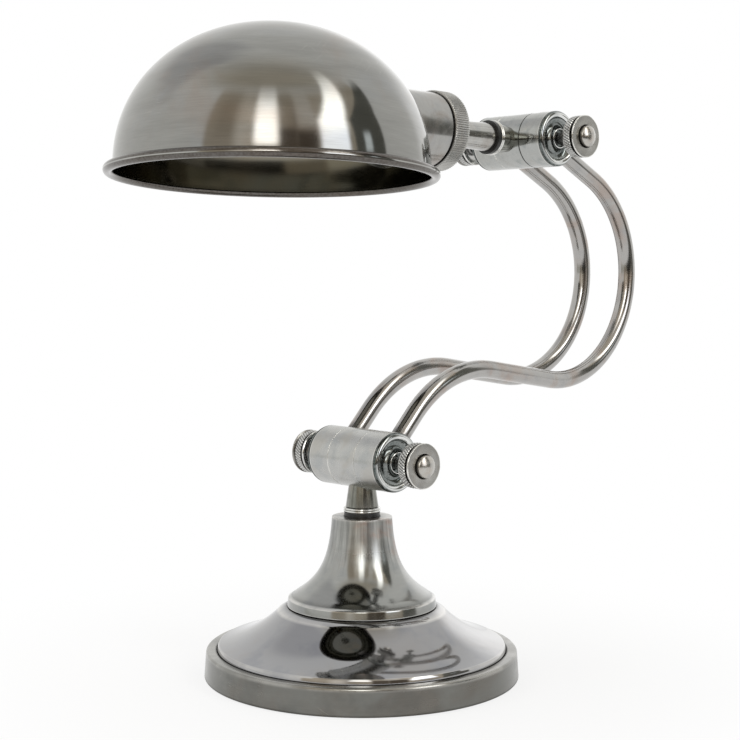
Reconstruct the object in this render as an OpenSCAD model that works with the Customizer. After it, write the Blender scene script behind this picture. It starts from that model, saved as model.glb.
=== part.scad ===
// Desk lamp with a domed metal shade on twin S-bent arms.
// +Z is up and the origin is the centre of the underside. The clamp rods lie along Y,
// the shade hangs towards -X and the arms bow towards +X. Sizes are in millimetres.

/* [Foot] */
// Radius of the foot ring where it meets the table
foot_r = 100; // [92:1:120]
// Height of the foot ring's ledge above the table
foot_h = 17.4; // [16:0.2:24]
// How far the ring's wall leans in at its top
foot_lean = 1.2; // [0.4:0.2:4]
// Rounding of the ring's top edge
foot_round = 2; // [1:0.5:3]
// Width of the ledge between the ring's wall and the cover
ledge_w = 6.9; // [5:0.1:10]
// Thickness of the wall that the cover stands on, inside the cover's lip
ring_shelf_w = 5; // [3:0.5:8]
// Depth of the step in the ledge that locates the cover
rebate_d = 2; // [1:0.5:3]
// Thickness of the felt under the foot
felt_t = 2; // [1:0.5:3]
// How far the felt stands below the ring
felt_proud = 0.6; // [0.2:0.1:0.8]
// Thickness of the weight's flange below the ring's shelf
weight_flange_t = 4; // [3:0.5:6]
// Height of the weight above its flange
weight_h = 8; // [4:0.5:9]

/* [Cover] */
// Thickness of the spun sheet
sheet_t = 1.2; // [0.8:0.1:1.5]
// Height of the cover's straight lip above the ledge
lip_h = 3; // [2:0.2:6]
// Radius of the cover's upper edge
cover_edge_r = 53.1; // [51:0.1:60]
// Rise from the lip to the upper edge
cover_rise = 21.3; // [16:0.1:30]
// How far the slope sags below a straight cone
cover_sag = 3.3; // [1:0.1:5]
// Width of the shoulder inside the upper edge
shoulder_w = 5.5; // [4:0.5:8]
// Rise of the shoulder
shoulder_rise = 2.4; // [1:0.2:4]
// Width of the flat that carries the neck
cover_flat_w = 9; // [6:0.5:12]

/* [Trumpet neck] */
// Height of the band at the foot of the neck
band_h = 6.4; // [4:0.2:10]
// How far the band leans in
band_lean = 1.2; // [0:0.2:3]
// Depth of the shadow groove under the band
band_groove = 0.5; // [0.3:0.1:1]
// Height of the flare above the band
flare_h = 50.9; // [40:0.1:70]
// Radius of the neck's flat top
neck_top_r = 19.1; // [17:0.1:24]
// Length over which the flare fades
flare_len = 15; // [12:0.5:20]
// Thickness of the neck's wall
neck_wall = 1.5; // [1:0.1:2.5]
// Thickness of the neck's top
neck_top_t = 3; // [2:0.5:5]

/* [Swivels] */
// Radius of the swivel's dark bush
bush_r = 11.4; // [10.8:0.1:13]
// Thickness of the bush
bush_t = 2.8; // [2.5:0.1:5]
// Thickness of the friction washer between the bush and the bead ring
friction_t = 0.5; // [0.3:0.1:1]
// Radius of the pin that the post turns on
pin_r = 6; // [5.5:0.1:6.5]
// Radius of the spigot below the bush
spigot_r = 7; // [6.6:0.1:7.4]
// Length of the spigot
spigot_h = 10; // [8:0.5:12]
// Running clearance round pins and rods
run_gap = 0.05; // [0.02:0.01:0.08]
// Radius of the bright bead ring on the bush
bead_ring_r = 11.8; // [11.2:0.1:13]
// Height of the bead ring
bead_ring_h = 2.5; // [1.6:0.1:3]
// Radius of the post at the bead ring
post_foot_r = 10.4; // [9.8:0.1:11]
// Radius of the post where it enters the drum
post_top_r = 8.4; // [8.2:0.1:9.4]
// Length from the drum's axis to the foot of the post
post_len = 31; // [28:0.5:40]
// Radius of the threaded tubes
nipple_r = 5; // [4.5:0.1:5.3]
// Radius of the wire's way through tubes and pins
wire_r = 3.2; // [2.5:0.1:3.5]
// Thickness of the clip that keeps the post on its pin
clip_t = 1; // [0.8:0.1:1.2]

/* [Clamp drums] */
// Radius of the drums
drum_r = 18.7; // [17.5:0.1:22]
// Width of the centre knuckle
centre_w = 24; // [21:0.5:30]
// Width of each outer knuckle
outer_w = 18.2; // [17.5:0.1:24]
// Gap between knuckles
seam = 0.15; // [0.1:0.05:0.4]
// Chamfer on the knuckles' edges
edge_c = 0.35; // [0.1:0.05:0.8]
// Radius of the clamp rod
rod_r = 4; // [3.5:0.1:4.5]
// Radius of the rolled lip of the end cups
cup_lip = 2.2; // [1.6:0.1:2.6]
// Radius of the hollow turned in the end cups
cup_hollow = 4.1; // [3:0.1:4.4]
// Thickness of the cup's spigot inside the knuckle
cup_spigot = 3.3; // [3:0.1:4]
// Depth of the hollow below the crest of the lip
cup_depth = 4.1; // [3:0.1:4.6]
// How far the cup's boss stands past the crest of the lip
boss_proud = 0.9; // [0:0.1:3]
// Wall of the boss round its recess
boss_wall = 0.7; // [0.5:0.1:1]
// Depth of the recess in the boss that takes the nut's hub
boss_recess_d = 1.5; // [1:0.1:2]

/* [Thumb nuts] */
// Radius of the nut's discs
nut_r = 14.1; // [12.5:0.1:16]
// Width of the knurled band
knurl_w = 5.6; // [4:0.1:8]
// Depth of the knurl
knurl_d = 0.45; // [0.2:0.05:0.7]
// Number of knurl ridges
knurl_n = 54; // [36:1:72]
// Slant of the knurl across the band, in degrees
knurl_twist = 14; // [0:1:20]
// Thickness of the discs beside the knurl
disc_t = 1.7; // [1:0.1:3]
// Width of the grooves beside the knurl
groove_w = 1.1; // [0.6:0.1:2]
// Depth of the grooves below the discs
groove_d = 1.5; // [1:0.1:2]
// Radius of the nut's hub
hub_r = 5.3; // [5:0.1:5.8]
// Distance from the boss of the cup to the nut
nut_stand = 11; // [8:0.5:16]
// How much further in the lower hinge's far nut is screwed
far_nut_in = 3; // [0:0.1:3]
// Depth of the dish in the nut's inner face
dish_d = 2.6; // [1:0.1:3.5]
// Radius of the domed button on the rod's end
button_r = 7; // [5.6:0.1:8]
// Gap round the button
button_gap = 0.9; // [0.4:0.1:1.2]
// Depth of the nut's recess for the button
recess_d = 4.5; // [4:0.1:5]
// How far the button's wall stands out of the nut
button_proud = 2.5; // [0.5:0.1:3.5]
// Height of the button's dome
button_dome = 2.4; // [1.5:0.1:4]

/* [Arms] */
// Radius of the arm tubes
tube_r = 6; // [5:0.1:6.4]
// Wall of the arm tubes
tube_wall = 1; // [0.8:0.1:1.5]
// Distance of each arm from the middle of the lamp
arm_y = 20.6; // [19.5:0.1:21.4]
// Angle at which the arms leave the lower drum
rise_angle = 47.3; // [35:0.1:60]
// Straight run from the lower drum's axis
lower_run = 37.6; // [30:0.1:60]
// Radius of the lower bend
lower_bend_r = 82.2; // [60:0.1:110]
// Turn of the lower bend
lower_bend_turn = 56.1; // [40:0.1:70]
// Straight run between the bends
middle_run = 59; // [20:0.5:90]
// Radius of the upper bend
upper_bend_r = 74.2; // [60:0.1:90]
// Turn of the upper bend
upper_bend_turn = 162.6; // [140:0.1:175]
// Straight run to the upper drum's axis
upper_run = 56; // [30:0.5:80]
// Radius from the drum's axis at which the tubes stop
tube_stop = 11; // [10:0.5:13]

/* [Head] */
// Nose-up angle of the head as the lamp is set
head_pitch = 0.95; // [-5:0.05:10]
// Lean of the head about its stem as the lamp is set
head_roll = 2.2; // [-5:0.1:5]
// Distance from the upper drum's axis to the back of the knurled cap
cap_back = 79; // [70:0.5:100]
// Radius of the stem at the bush
stem_foot_r = 9.7; // [9.2:0.1:11]
// Radius of the stem at the cap
stem_top_r = 8.3; // [7.6:0.1:9]
// Radius of the knurled cap over its ridges
cap_r = 25.9; // [25.4:0.1:28]
// Length of the knurled cap
cap_l = 14.2; // [12:0.2:20]
// Rounding of the cap's shoulder
cap_round = 3.2; // [2:0.2:4]
// Number of ridges on the cap
cap_ridges = 108; // [72:4:132]
// Depth of the ridges on the cap
cap_ridge_d = 0.5; // [0.3:0.05:0.8]
// Gap between the cap and the shade's neck
cap_gap = 1.2; // [0.6:0.1:2]
// Radius of the shade's neck
shade_neck_r = 24.4; // [24:0.1:25]
// Wall of the shade's neck
shade_neck_wall = 1.5; // [1.2:0.1:2]
// How far the neck's flange reaches past it inside the shade
flange_w = 2.8; // [1.5:0.1:4]

/* [Shade] */
// Radius over the rolled rim
rim_r = 99.5; // [90:0.5:120]
// Radius of the rolled rim's section
rim_bead_r = 3; // [2.4:0.1:3.6]
// How far the bead bites into the wall
rim_bite = 0.45; // [0.3:0.05:0.8]
// Height of the dome above the bead's middle
dome_h = 88.1; // [80:0.1:110]
// Height of the bead's middle below the foot of the dome's curve
dome_skirt = 2.8; // [1:0.1:8]
// Fullness of the dome: 2 is an ellipse and more is squarer
dome_power = 2.085; // [1.9:0.005:2.4]
// Thickness of the shade's sheet
shade_t = 1; // [0.8:0.1:1.5]
// Distance from the upper drum's axis to the shade's axis
shade_reach = 223.9; // [215:0.1:260]
// Drop from the stem's axis to the middle of the rim's bead
shade_drop = 37.2; // [34:0.1:44]
// Nose-up set of the shade on its neck
shade_set = 1.7; // [0:0.1:3]

/* [Lamp holder] */
// Radius of the holder's body
holder_r = 19.6; // [18.5:0.1:20.4]
// Length of the holder's body
holder_l = 42; // [38:0.5:50]
// Wall of the holder's body
holder_wall = 2.2; // [1.8:0.1:3]
// Length of the holder's back cap
holder_cap_l = 15; // [13:0.5:20]
// Radius inside the screw shell
shell_r = 13.3; // [13.3:0.05:13.4]
// Thickness of the screw shell
shell_t = 0.5; // [0.4:0.1:0.8]
// Length of the screw shell
shell_l = 24; // [20:0.5:28]

/* [Hidden] */
$fn = 96;

// Colours of the finishes
satin = [0.62, 0.62, 0.60];
polished = [0.70, 0.70, 0.69];
aged = [0.50, 0.49, 0.47];
dark = [0.13, 0.12, 0.11];
iron = [0.25, 0.25, 0.26];
felt_green = [0.10, 0.17, 0.13];
brass = [0.75, 0.60, 0.30];

eps = 0.01;
fit_gap = 0.3; // between parts that only drop into each other
curve_steps = 14;
flare_steps = 22;
dome_steps = 26;
round_steps = 5;

// The band over each end of a bend in the arms
band_half = 0.1;
band_gap = 0.025;
band_rise = 0.04;

// Heights of the base, bottom to top
ring_z = felt_proud;
flange_z = felt_t + weight_flange_t;
weight_z = flange_z + weight_h;
cover_r = foot_r - foot_lean - ledge_w;
seat_z = foot_h - rebate_d;
lip_z = foot_h + lip_h;
edge_z = lip_z + cover_rise;
shelf_z = edge_z + shoulder_rise;
band_r = cover_edge_r - shoulder_w;
band_top_z = shelf_z + band_h;
band_top_r = band_r - band_lean;
neck_z = band_top_z + flare_h;
ring_in_r = cover_r - ring_shelf_w;
cord_z = (flange_z + seat_z) / 2;
cord_bush_r = 4.2;
cord_flange_r = 5.6;
cord_flange_t = 1.6;
cord_face_x = foot_r - foot_lean - 0.4;

// The nut and washer under the weight
washer_r = 12;
washer_t = 1.5;
nut_flats = 17;
nut_h = 4;
counterbore_r = 13.5;
washer_z = felt_t + nut_h + 0.4;

// Distances along a swivel, measured from the drum's axis
post_step = 0.4;
bead_d = post_len;
friction_d = bead_d + bead_ring_h + 0.1;
bush_d = friction_d + friction_t;
bush_end = bush_d + bush_t;
clip_floor = 16;
clip_d = clip_floor - clip_t - 0.1;
clip_groove_r = pin_r - 0.8;
clip_r = pin_r + 2;
pin_top = clip_d - 1.6;
chamber_r = clip_r + 0.6;
chamber_top = rod_r + 2.4;
wire_gallery = 9.5;

// Places along a clamp rod, measured from the lamp's middle plane
outer_y = centre_w / 2 + seam;
cup_y = outer_y + outer_w;
crest_y = cup_y + cup_lip;
boss_y = crest_y + boss_proud;
hub_y = boss_y - boss_recess_d + seam + far_nut_in;
nut_y = boss_y + nut_stand;
band_y = nut_y + disc_t + groove_w;
face_y = band_y + knurl_w + groove_w + disc_t;
recess_y = face_y - recess_d;
button_y = recess_y + 2;
rod_end = button_y + 3;
hub_gap = 0.7; // between the nut's hub and the boss round it
boss_recess_r = hub_r + hub_gap;
boss_r = boss_recess_r + boss_wall;
hollow_r = boss_r + cup_hollow;
nut_edge_c = 0.4;
nut_dish_rim = 1.2;
knurl_under = 0.05; // how far the knurl lies under the discs
cup_back = cup_y - cup_spigot;
cup_spigot_r = drum_r - 1.95;
groove_in_r = rod_r + 3;
groove_out_r = 12;
groove_to = arm_y - 0.6;

// The clamp drums' axes
lower_z = neck_z + bush_end;
function dir(a) = [cos(a), sin(a)];
function bend_chord(r, turn) = 2 * r * sin(abs(turn) / 2);
mid_angle = rise_angle - lower_bend_turn;
end_angle = mid_angle + upper_bend_turn;
arm_span = lower_run * dir(rise_angle)
    + bend_chord(lower_bend_r, lower_bend_turn) * dir(rise_angle - lower_bend_turn / 2)
    + middle_run * dir(mid_angle)
    + bend_chord(upper_bend_r, upper_bend_turn) * dir(mid_angle + upper_bend_turn / 2)
    + upper_run * dir(end_angle);
upper_x = arm_span[0];
upper_z = lower_z + arm_span[1];
upper_socket = end_angle + 180;

// Places along the head's stem, measured from the upper drum's axis
cap_front = cap_back + cap_l;
cap_wall = 2.5;
cap_in_r = cap_r - cap_ridge_d - 2.3;
sleeve_d = cap_front + cap_gap;
holder_d = cap_back + cap_wall + 0.2;
holder_body_d = holder_d + holder_cap_l;
holder_floor_t = 6;
shell_d = holder_body_d + holder_floor_t;
shell_base_l = 6; // the shell's narrower part, below its thread
shell_step = 1.5;
shell_floor_t = 1.2;
contact_r = 4;
contact_t = 2.4;
contact_tip_r = 2.6;
contact_h = 4;
contact_gap = 3;
dome_r = rim_r - 2 * rim_bead_r + rim_bite;

// A polyline from a to b, bowed sideways by sag at its middle
function sagged(a, b, sag, n) = let (d = b - a, side = [-d[1], d[0]] / norm(d))
    [for (i = [0:n]) let (t = i / n) a + d * t + side * 4 * sag * t * (1 - t)];

// Points of an arc from angle a0 to a1
function arc(c, r, a0, a1, n) = [for (i = [0:n]) c + r * dir(a0 + (a1 - a0) * i / n)];

// The path moved sideways by t, mitred at its corners
function side_of(a, b) = let (d = b - a) [-d[1], d[0]] / norm(d);
function mitre(p, i) = let (
    last = len(p) - 1,
    before = side_of(p[max(i - 1, 0)], p[max(i, 1)]),
    after = side_of(p[min(i, last - 1)], p[min(i + 1, last)]),
    mid = (before + after) / norm(before + after)) mid / (mid * before);
function beside(p, t) = [for (i = [0:len(p) - 1]) p[i] + t * mitre(p, i)];
function reversed(p) = [for (i = [len(p) - 1:-1:0]) p[i]];

// A ridged outline with n teeth
function ridges(n, root, tip) =
    [for (i = [0:2 * n - 1]) (i % 2 == 0 ? tip : root) * dir(180 * i / n)];

// The dome's outline from foot to crown, for a foot radius r and a height h
function dome_curve(r, h) = [for (i = [0:dome_steps]) let (a = 90 * i / dome_steps)
    [i == dome_steps ? 0 : r * pow(cos(a), 2 / dome_power), h * pow(sin(a), 2 / dome_power)]];

// Radius of the trumpet at a height above its band
flare_end = exp(-flare_h / flare_len);
function flare(z) = neck_top_r
    + (band_top_r - neck_top_r) * (exp(-z / flare_len) - flare_end) / (1 - flare_end);

// ---- Frames ----
// Turns a shape that stands on Z so that it lies along +Y
module along_y() rotate([-90, 0, 0]) children();

module at_lower() translate([0, 0, lower_z]) children();
module at_upper() translate([upper_x, 0, upper_z]) children();
module at_head() at_upper() rotate([0, head_pitch, 0]) rotate([-head_roll, 0, 0]) children();

// Swivel frames: the drum's axis is Y and the post points down -Z. The knuckle only
// pitches with the head; what turns on the swivel also has the head's lean.
module at_upper_post() at_upper() rotate([0, head_pitch + 90, 0]) children();
module at_head_swivel() at_head() rotate([0, 90, 0]) children();

// The stem's frame: +Z runs from the upper drum towards the shade
module at_stem() at_head() rotate([0, -90, 0]) children();

// The shade's frame: Z is the dome's axis, from the middle of the rim's bead
module at_shade() at_head() translate([-shade_reach, 0, -shade_drop])
    rotate([0, shade_set, 0]) children();

module tube(r, wall, h) difference() {
    cylinder(r = r, h = h);
    translate([0, 0, -eps]) cylinder(r = r - wall, h = h + 2 * eps);
}

// ---- Base ----
module foot_ring() color(aged) difference() {
    top = [foot_r - foot_lean, foot_h - foot_round];
    rotate_extrude() polygon(concat(
        [[cover_r + fit_gap + ring_shelf_w / 2, ring_z], [foot_r - 0.4, ring_z],
            [foot_r, ring_z + 0.4]],
        arc(top - [foot_round, 0], foot_round, 0, 90, round_steps),
        [[cover_r + fit_gap, foot_h], [cover_r + fit_gap, seat_z], [ring_in_r, seat_z],
            [ring_in_r, flange_z], [cover_r + fit_gap + ring_shelf_w / 2, flange_z]]));
    translate([ring_in_r - 1, 0, cord_z]) rotate([0, 90, 0]) {
        cylinder(r = cord_bush_r, h = foot_r);
        translate([0, 0, cord_face_x - ring_in_r + 1]) cylinder(r = cord_flange_r, h = foot_r);
    }
}

module base_weight() color(iron) difference() {
    union() {
        translate([0, 0, felt_t]) cylinder(r = cover_r + ring_shelf_w / 2, h = weight_flange_t);
        translate([0, 0, felt_t]) cylinder(r = ring_in_r - fit_gap, h = weight_z - felt_t);
    }
    cylinder(r = nipple_r, h = weight_z + 1);
    translate([0, 0, felt_t - eps])
        cylinder(r = counterbore_r, h = washer_z + washer_t - felt_t + eps);
    translate([counterbore_r + 2, -cord_bush_r, flange_z])
        cube([ring_in_r, 2 * cord_bush_r, weight_h + 1]);
}

module felt_pad() color(felt_green) cylinder(r = cover_r + ring_shelf_w / 2, h = felt_t);

module base_cover() color(polished) {
    top = concat([[cover_r, seat_z]],
        sagged([cover_r, lip_z], [cover_edge_r, edge_z], cover_sag, curve_steps),
        [[band_r, shelf_z], [band_r - cover_flat_w, shelf_z]]);
    rotate_extrude() polygon(concat(top, reversed(beside(top, sheet_t))));
}

module base_neck() color(polished) {
    seat_r = band_top_r - 0.3;
    inner_r = band_top_r - neck_wall - 0.4;
    curve = [for (i = [0:flare_steps]) let (z = flare_h * i / flare_steps)
        [flare(z), band_top_z + z]];
    under = beside(curve, neck_wall);
    inside = [for (p = under) if (p[0] < inner_r && p[1] < neck_z - neck_top_t) p];
    outside = [for (p = under) if (p[0] >= inner_r) p];
    edge = outside[len(outside) - 1];
    corner_z = edge[1]
        + (inside[0][1] - edge[1]) * (edge[0] - inner_r) / (edge[0] - inside[0][0]);
    rotate_extrude() polygon(concat(
        [[inner_r, shelf_z], [seat_r, shelf_z], [seat_r, shelf_z + band_groove],
            [band_r, shelf_z + band_groove], [band_top_r + 0.1, band_top_z - 0.5]],
        [for (i = [0:flare_steps - 1]) curve[i]],
        arc([neck_top_r - 0.8, neck_z - 0.8], 0.8, 0, 90, round_steps),
        [[spigot_r, neck_z], [spigot_r, neck_z - neck_top_t],
            [inside[len(inside) - 1][0], neck_z - neck_top_t]],
        reversed(inside), [[inner_r, corner_z]]));
}

module base_nipple() color(brass) translate([0, 0, felt_t + 0.4])
    tube(nipple_r, nipple_r - wire_r, neck_z - 2 - felt_t - 0.4);

module base_washer() color(iron) translate([0, 0, washer_z])
    tube(washer_r, washer_r - nipple_r, washer_t);

module base_nut() color(brass) translate([0, 0, washer_z - nut_h]) difference() {
    cylinder(r = nut_flats / 2 / cos(30), h = nut_h, $fn = 6);
    translate([0, 0, -eps]) cylinder(r = nipple_r, h = nut_h + 2 * eps);
}

module cord_bush() color(dark) translate([ring_in_r, 0, cord_z]) rotate([0, 90, 0])
    rotate_extrude() polygon([[wire_r, 0], [cord_bush_r, 0],
        [cord_bush_r, cord_face_x - ring_in_r], [cord_flange_r, cord_face_x - ring_in_r],
        [cord_flange_r - 0.5, cord_face_x - ring_in_r + cord_flange_t],
        [wire_r + 0.4, cord_face_x - ring_in_r + cord_flange_t],
        [wire_r, cord_face_x - ring_in_r + cord_flange_t - 0.4]]);

// ---- Swivel: a hollow pin with a bush, a bead ring and a clip ----
module spindle() color(dark) rotate([180, 0, 0]) rotate_extrude() polygon([
    [wire_r, pin_top], [pin_r - 0.4, pin_top], [pin_r, pin_top + 0.4],
    [pin_r, clip_d], [clip_groove_r, clip_d], [clip_groove_r, clip_d + clip_t],
    [pin_r, clip_d + clip_t], [pin_r, bush_d], [bush_r, bush_d], [bush_r, bush_end],
    [spigot_r, bush_end], [spigot_r, bush_end + spigot_h],
    [nipple_r, bush_end + spigot_h], [nipple_r, bush_end + 2], [wire_r, bush_end + 2]]);

module spindle_clip() color(iron) translate([0, 0, -clip_d - clip_t]) difference() {
    tube(clip_r, clip_r - clip_groove_r, clip_t);
    translate([0, -clip_groove_r * 0.7, -eps]) cube([clip_r, clip_groove_r * 1.4, clip_t + 2 * eps]);
}

module friction_washer() color(brass) translate([0, 0, -bush_d])
    tube(bush_r - 0.6, bush_r - 0.6 - pin_r, friction_t);

module bead_ring() color(polished) rotate([180, 0, 0]) translate([0, 0, bead_d])
    rotate_extrude() {
        translate([pin_r + run_gap, 0])
            square([bead_ring_r - bead_ring_h / 2 - pin_r - run_gap, bead_ring_h]);
        translate([bead_ring_r - bead_ring_h / 2, bead_ring_h / 2]) circle(r = bead_ring_h / 2);
    }

// ---- Clamp joint ----
// A slice of the drum along +Y from y0 to y1, chamfered at both edges
module drum_slice(y0, y1) along_y() rotate_extrude() polygon([
    [0, y0], [drum_r - edge_c, y0], [drum_r, y0 + edge_c],
    [drum_r, y1 - edge_c], [drum_r - edge_c, y1], [0, y1]]);

module rod_hole(gap) translate([0, -centre_w - outer_w - cup_lip, 0])
    along_y() cylinder(r = rod_r + gap, h = 2 * (centre_w + outer_w + cup_lip));

module centre_knuckle() color(satin) difference() {
    union() {
        drum_slice(-centre_w / 2, centre_w / 2);
        translate([0, 0, -post_len + post_step]) cylinder(r1 = post_foot_r, r2 = post_top_r,
            h = post_len - post_step - clip_floor);
        translate([0, 0, -post_len]) cylinder(r = post_foot_r - 0.8, h = post_step + eps);
    }
    rod_hole(0);
    translate([0, 0, -clip_floor]) cylinder(r = chamber_r, h = clip_floor - chamber_top);
    translate([0, 0, -post_len - 1]) cylinder(r = pin_r + run_gap, h = post_len);
    translate([0, -centre_w, -wire_gallery]) along_y()
        cylinder(r = wire_r - 0.7, h = 2 * centre_w);
}

// side is 1 for the far knuckle and -1 for the near one; the tube leaves at angle tube_dir
module outer_knuckle(side, tube_dir) color(satin) scale_side(side) difference() {
    drum_slice(outer_y, cup_y);
    rod_hole(run_gap);
    translate([0, outer_y - eps, 0]) along_y()
        tube(groove_out_r, groove_out_r - groove_in_r, groove_to - outer_y);
    translate([0, cup_back, 0]) along_y() cylinder(r = cup_spigot_r, h = outer_w);
    rotate([0, -tube_dir, 0]) translate([0, arm_y, 0]) rotate([0, 90, 0]) {
        translate([0, 0, tube_stop]) cylinder(r = tube_r, h = drum_r);
        translate([0, 0, groove_in_r + 1.5]) cylinder(r = tube_r - 2, h = drum_r);
    }
}

module scale_side(side) if (side > 0) children(); else mirror([0, 1, 0]) children();

module end_cup(side) color(polished) scale_side(side) along_y() rotate_extrude() difference() {
    union() {
        translate([rod_r + run_gap, cup_back])
            square([cup_spigot_r - rod_r - run_gap, cup_spigot]);
        translate([rod_r + run_gap, cup_y])
            square([drum_r - cup_lip - rod_r - run_gap, cup_lip * 0.8]);
        translate([drum_r - cup_lip, cup_y + eps]) intersection() {
            circle(r = cup_lip);
            translate([-cup_lip, 0]) square([2 * cup_lip, cup_lip]);
        }
        translate([rod_r + run_gap, cup_y]) square([boss_r - rod_r - run_gap, boss_y - cup_y]);
    }
    translate([hollow_r, crest_y - cup_depth + cup_hollow]) circle(r = cup_hollow);
    translate([boss_r, crest_y - cup_depth + cup_hollow])
        square([2 * cup_hollow, cup_lip + cup_hollow]);
    translate([0, boss_y - boss_recess_d]) square([boss_recess_r, boss_recess_d + 1]);
}

// inward is how much further in than the others the nut, its button and the rod's end are
module thumb_nut(side, inward = 0) color(aged) scale_side(side) translate([0, -inward, 0]) along_y()
    difference() {
        union() {
            rotate_extrude() polygon(concat(
                [[0, hub_y], [hub_r - 0.3, hub_y], [hub_r, hub_y + 0.3]],
                reversed(sagged([nut_r - nut_dish_rim, nut_y], [hub_r, nut_y + dish_d], 0.5, 6)),
                [[nut_r - nut_edge_c, nut_y], [nut_r, nut_y + nut_edge_c], [nut_r, nut_y + disc_t],
                    [nut_r - groove_d, nut_y + disc_t], [nut_r - groove_d, face_y - disc_t],
                    [nut_r, face_y - disc_t], [nut_r, face_y - nut_edge_c],
                    [nut_r - nut_edge_c, face_y], [0, face_y]]));
            translate([0, 0, band_y]) linear_extrude(height = knurl_w, twist = knurl_twist, slices = 2)
                polygon(ridges(knurl_n, nut_r - knurl_under - knurl_d, nut_r - knurl_under));
        }
        cylinder(r = rod_r + run_gap, h = face_y + 1);
        translate([0, 0, recess_y]) cylinder(r = button_r + button_gap, h = recess_d + 1);
    }

module clamp_rod(inward = 0) color(iron) translate([0, -rod_end, 0]) along_y()
    cylinder(r = rod_r, h = 2 * rod_end - inward);

module rod_button(side, inward = 0) color(polished) scale_side(side) translate([0, -inward, 0])
    along_y() {
    wall = face_y + button_proud - button_y;
    ball = (button_r * button_r + button_dome * button_dome) / 2 / button_dome;
    difference() {
        union() {
            translate([0, 0, button_y]) cylinder(r = button_r, h = wall);
            intersection() {
                translate([0, 0, button_y + wall + button_dome - ball]) sphere(r = ball);
                translate([0, 0, button_y + wall - eps]) cylinder(r = button_r, h = button_dome + 1);
            }
        }
        translate([0, 0, button_y - eps]) cylinder(r = rod_r, h = rod_end - button_y + eps);
    }
}

// ---- Arms ----
// The path runs along +Z of its own frame; each step draws its piece and moves on.
// A bend with a positive turn curls towards +X of that frame. A hair-thin band over
// each change from straight to bent makes the pieces one solid.
module run(r, len) {
    cylinder(r = r, h = len - band_gap);
    translate([0, 0, len]) children();
}

module bend(r, bend_r, turn) {
    flip = turn < 0 ? 180 : 0;
    translate([0, 0, -band_half]) cylinder(r = r + band_rise, h = 2 * band_half);
    rotate([0, 0, flip]) translate([bend_r, 0, 0]) rotate([90, 0, 0]) rotate([0, 0, 180 - abs(turn)])
        rotate_extrude(angle = abs(turn)) translate([bend_r, 0]) circle(r = r);
    rotate([0, 0, flip]) translate([bend_r, 0, 0]) rotate([0, abs(turn), 0])
        translate([-bend_r, 0, 0]) rotate([0, 0, -flip]) {
            translate([0, 0, -band_half]) cylinder(r = r + band_rise, h = 2 * band_half);
            translate([0, 0, band_gap]) children();
        }
}

module arm_path(r) run(r, lower_run - tube_stop)
    bend(r, lower_bend_r, lower_bend_turn)
        run(r, middle_run - band_gap)
            bend(r, upper_bend_r, -upper_bend_turn)
                run(r, upper_run - tube_stop - band_gap);

module arm(side) color(aged) at_lower() translate([0, side * arm_y, 0])
    rotate([0, 90 - rise_angle, 0]) translate([0, 0, tube_stop]) difference() {
        arm_path(tube_r);
        arm_path(tube_r - tube_wall);
    }

// ---- Head ----
module head_stem() color(satin) at_stem() difference() {
    translate([0, 0, bush_end]) cylinder(r1 = stem_foot_r, r2 = stem_top_r, h = cap_back - bush_end);
    translate([0, 0, bush_end - 1]) cylinder(r = wire_r, h = cap_back);
    translate([0, 0, bush_end - eps]) cylinder(r = spigot_r, h = spigot_h + eps);
    translate([0, 0, cap_back - spigot_h]) cylinder(r = nipple_r, h = spigot_h + 1);
}

module head_nipple() color(brass) at_stem() translate([0, 0, cap_back - spigot_h])
    tube(nipple_r, nipple_r - wire_r, spigot_h + cap_wall + 6);

module knurled_cap() color(aged) at_stem() difference() {
    union() {
        rotate_extrude() polygon(concat([[0, cap_back], [cap_r - 0.7 - cap_round, cap_back]],
            arc([cap_r - 0.7 - cap_round, cap_back + cap_round], cap_round, -90, 0, round_steps),
            [[cap_r - 0.7, cap_front - 0.4], [cap_r - 1.1, cap_front], [0, cap_front]]));
        translate([0, 0, cap_back + cap_round])
            linear_extrude(height = cap_l - cap_round - 1)
                polygon(ridges(cap_ridges, cap_r - cap_ridge_d, cap_r));
    }
    translate([0, 0, cap_back + cap_wall]) cylinder(r = cap_in_r, h = cap_l);
    translate([0, 0, cap_back - 1]) cylinder(r = nipple_r, h = cap_wall + 2);
}

// The space inside the shade's sheet, down to the middle of the bead
module shade_inside(inset) rotate_extrude() polygon(concat(
    [[0, 0], [dome_r - inset, 0]],
    [for (p = dome_curve(dome_r - inset, dome_h - dome_skirt - inset)) p + [0, dome_skirt]]));

module shade_neck() color(aged) {
    inner = shade_neck_r - shade_neck_wall;
    difference() {
        at_stem() rotate_extrude() polygon([
            [cap_in_r - 1.5, cap_back + cap_wall + 2], [cap_in_r, cap_back + cap_wall + 2],
            [cap_in_r, sleeve_d], [shade_neck_r, sleeve_d], [shade_neck_r, shade_reach],
            [inner, shade_reach], [inner, sleeve_d + 3], [cap_in_r - 1.5, sleeve_d + 1.5]]);
        at_shade() shade_inside(shade_t);
    }
    intersection() {
        at_shade() difference() {
            shade_inside(shade_t);
            shade_inside(shade_t + 1.2);
        }
        at_stem() translate([0, 0, sleeve_d])
            tube(shade_neck_r + flange_w, shade_neck_wall + flange_w, shade_reach - sleeve_d);
    }
}

module shade_dome() color(aged) difference() {
    at_shade() {
        difference() {
            shade_inside(0);
            translate([0, 0, -eps]) shade_inside(shade_t);
        }
        rotate_extrude() translate([rim_r - rim_bead_r, 0]) circle(r = rim_bead_r);
    }
    at_stem() translate([0, 0, sleeve_d]) cylinder(r = shade_neck_r, h = shade_reach - sleeve_d);
}

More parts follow.
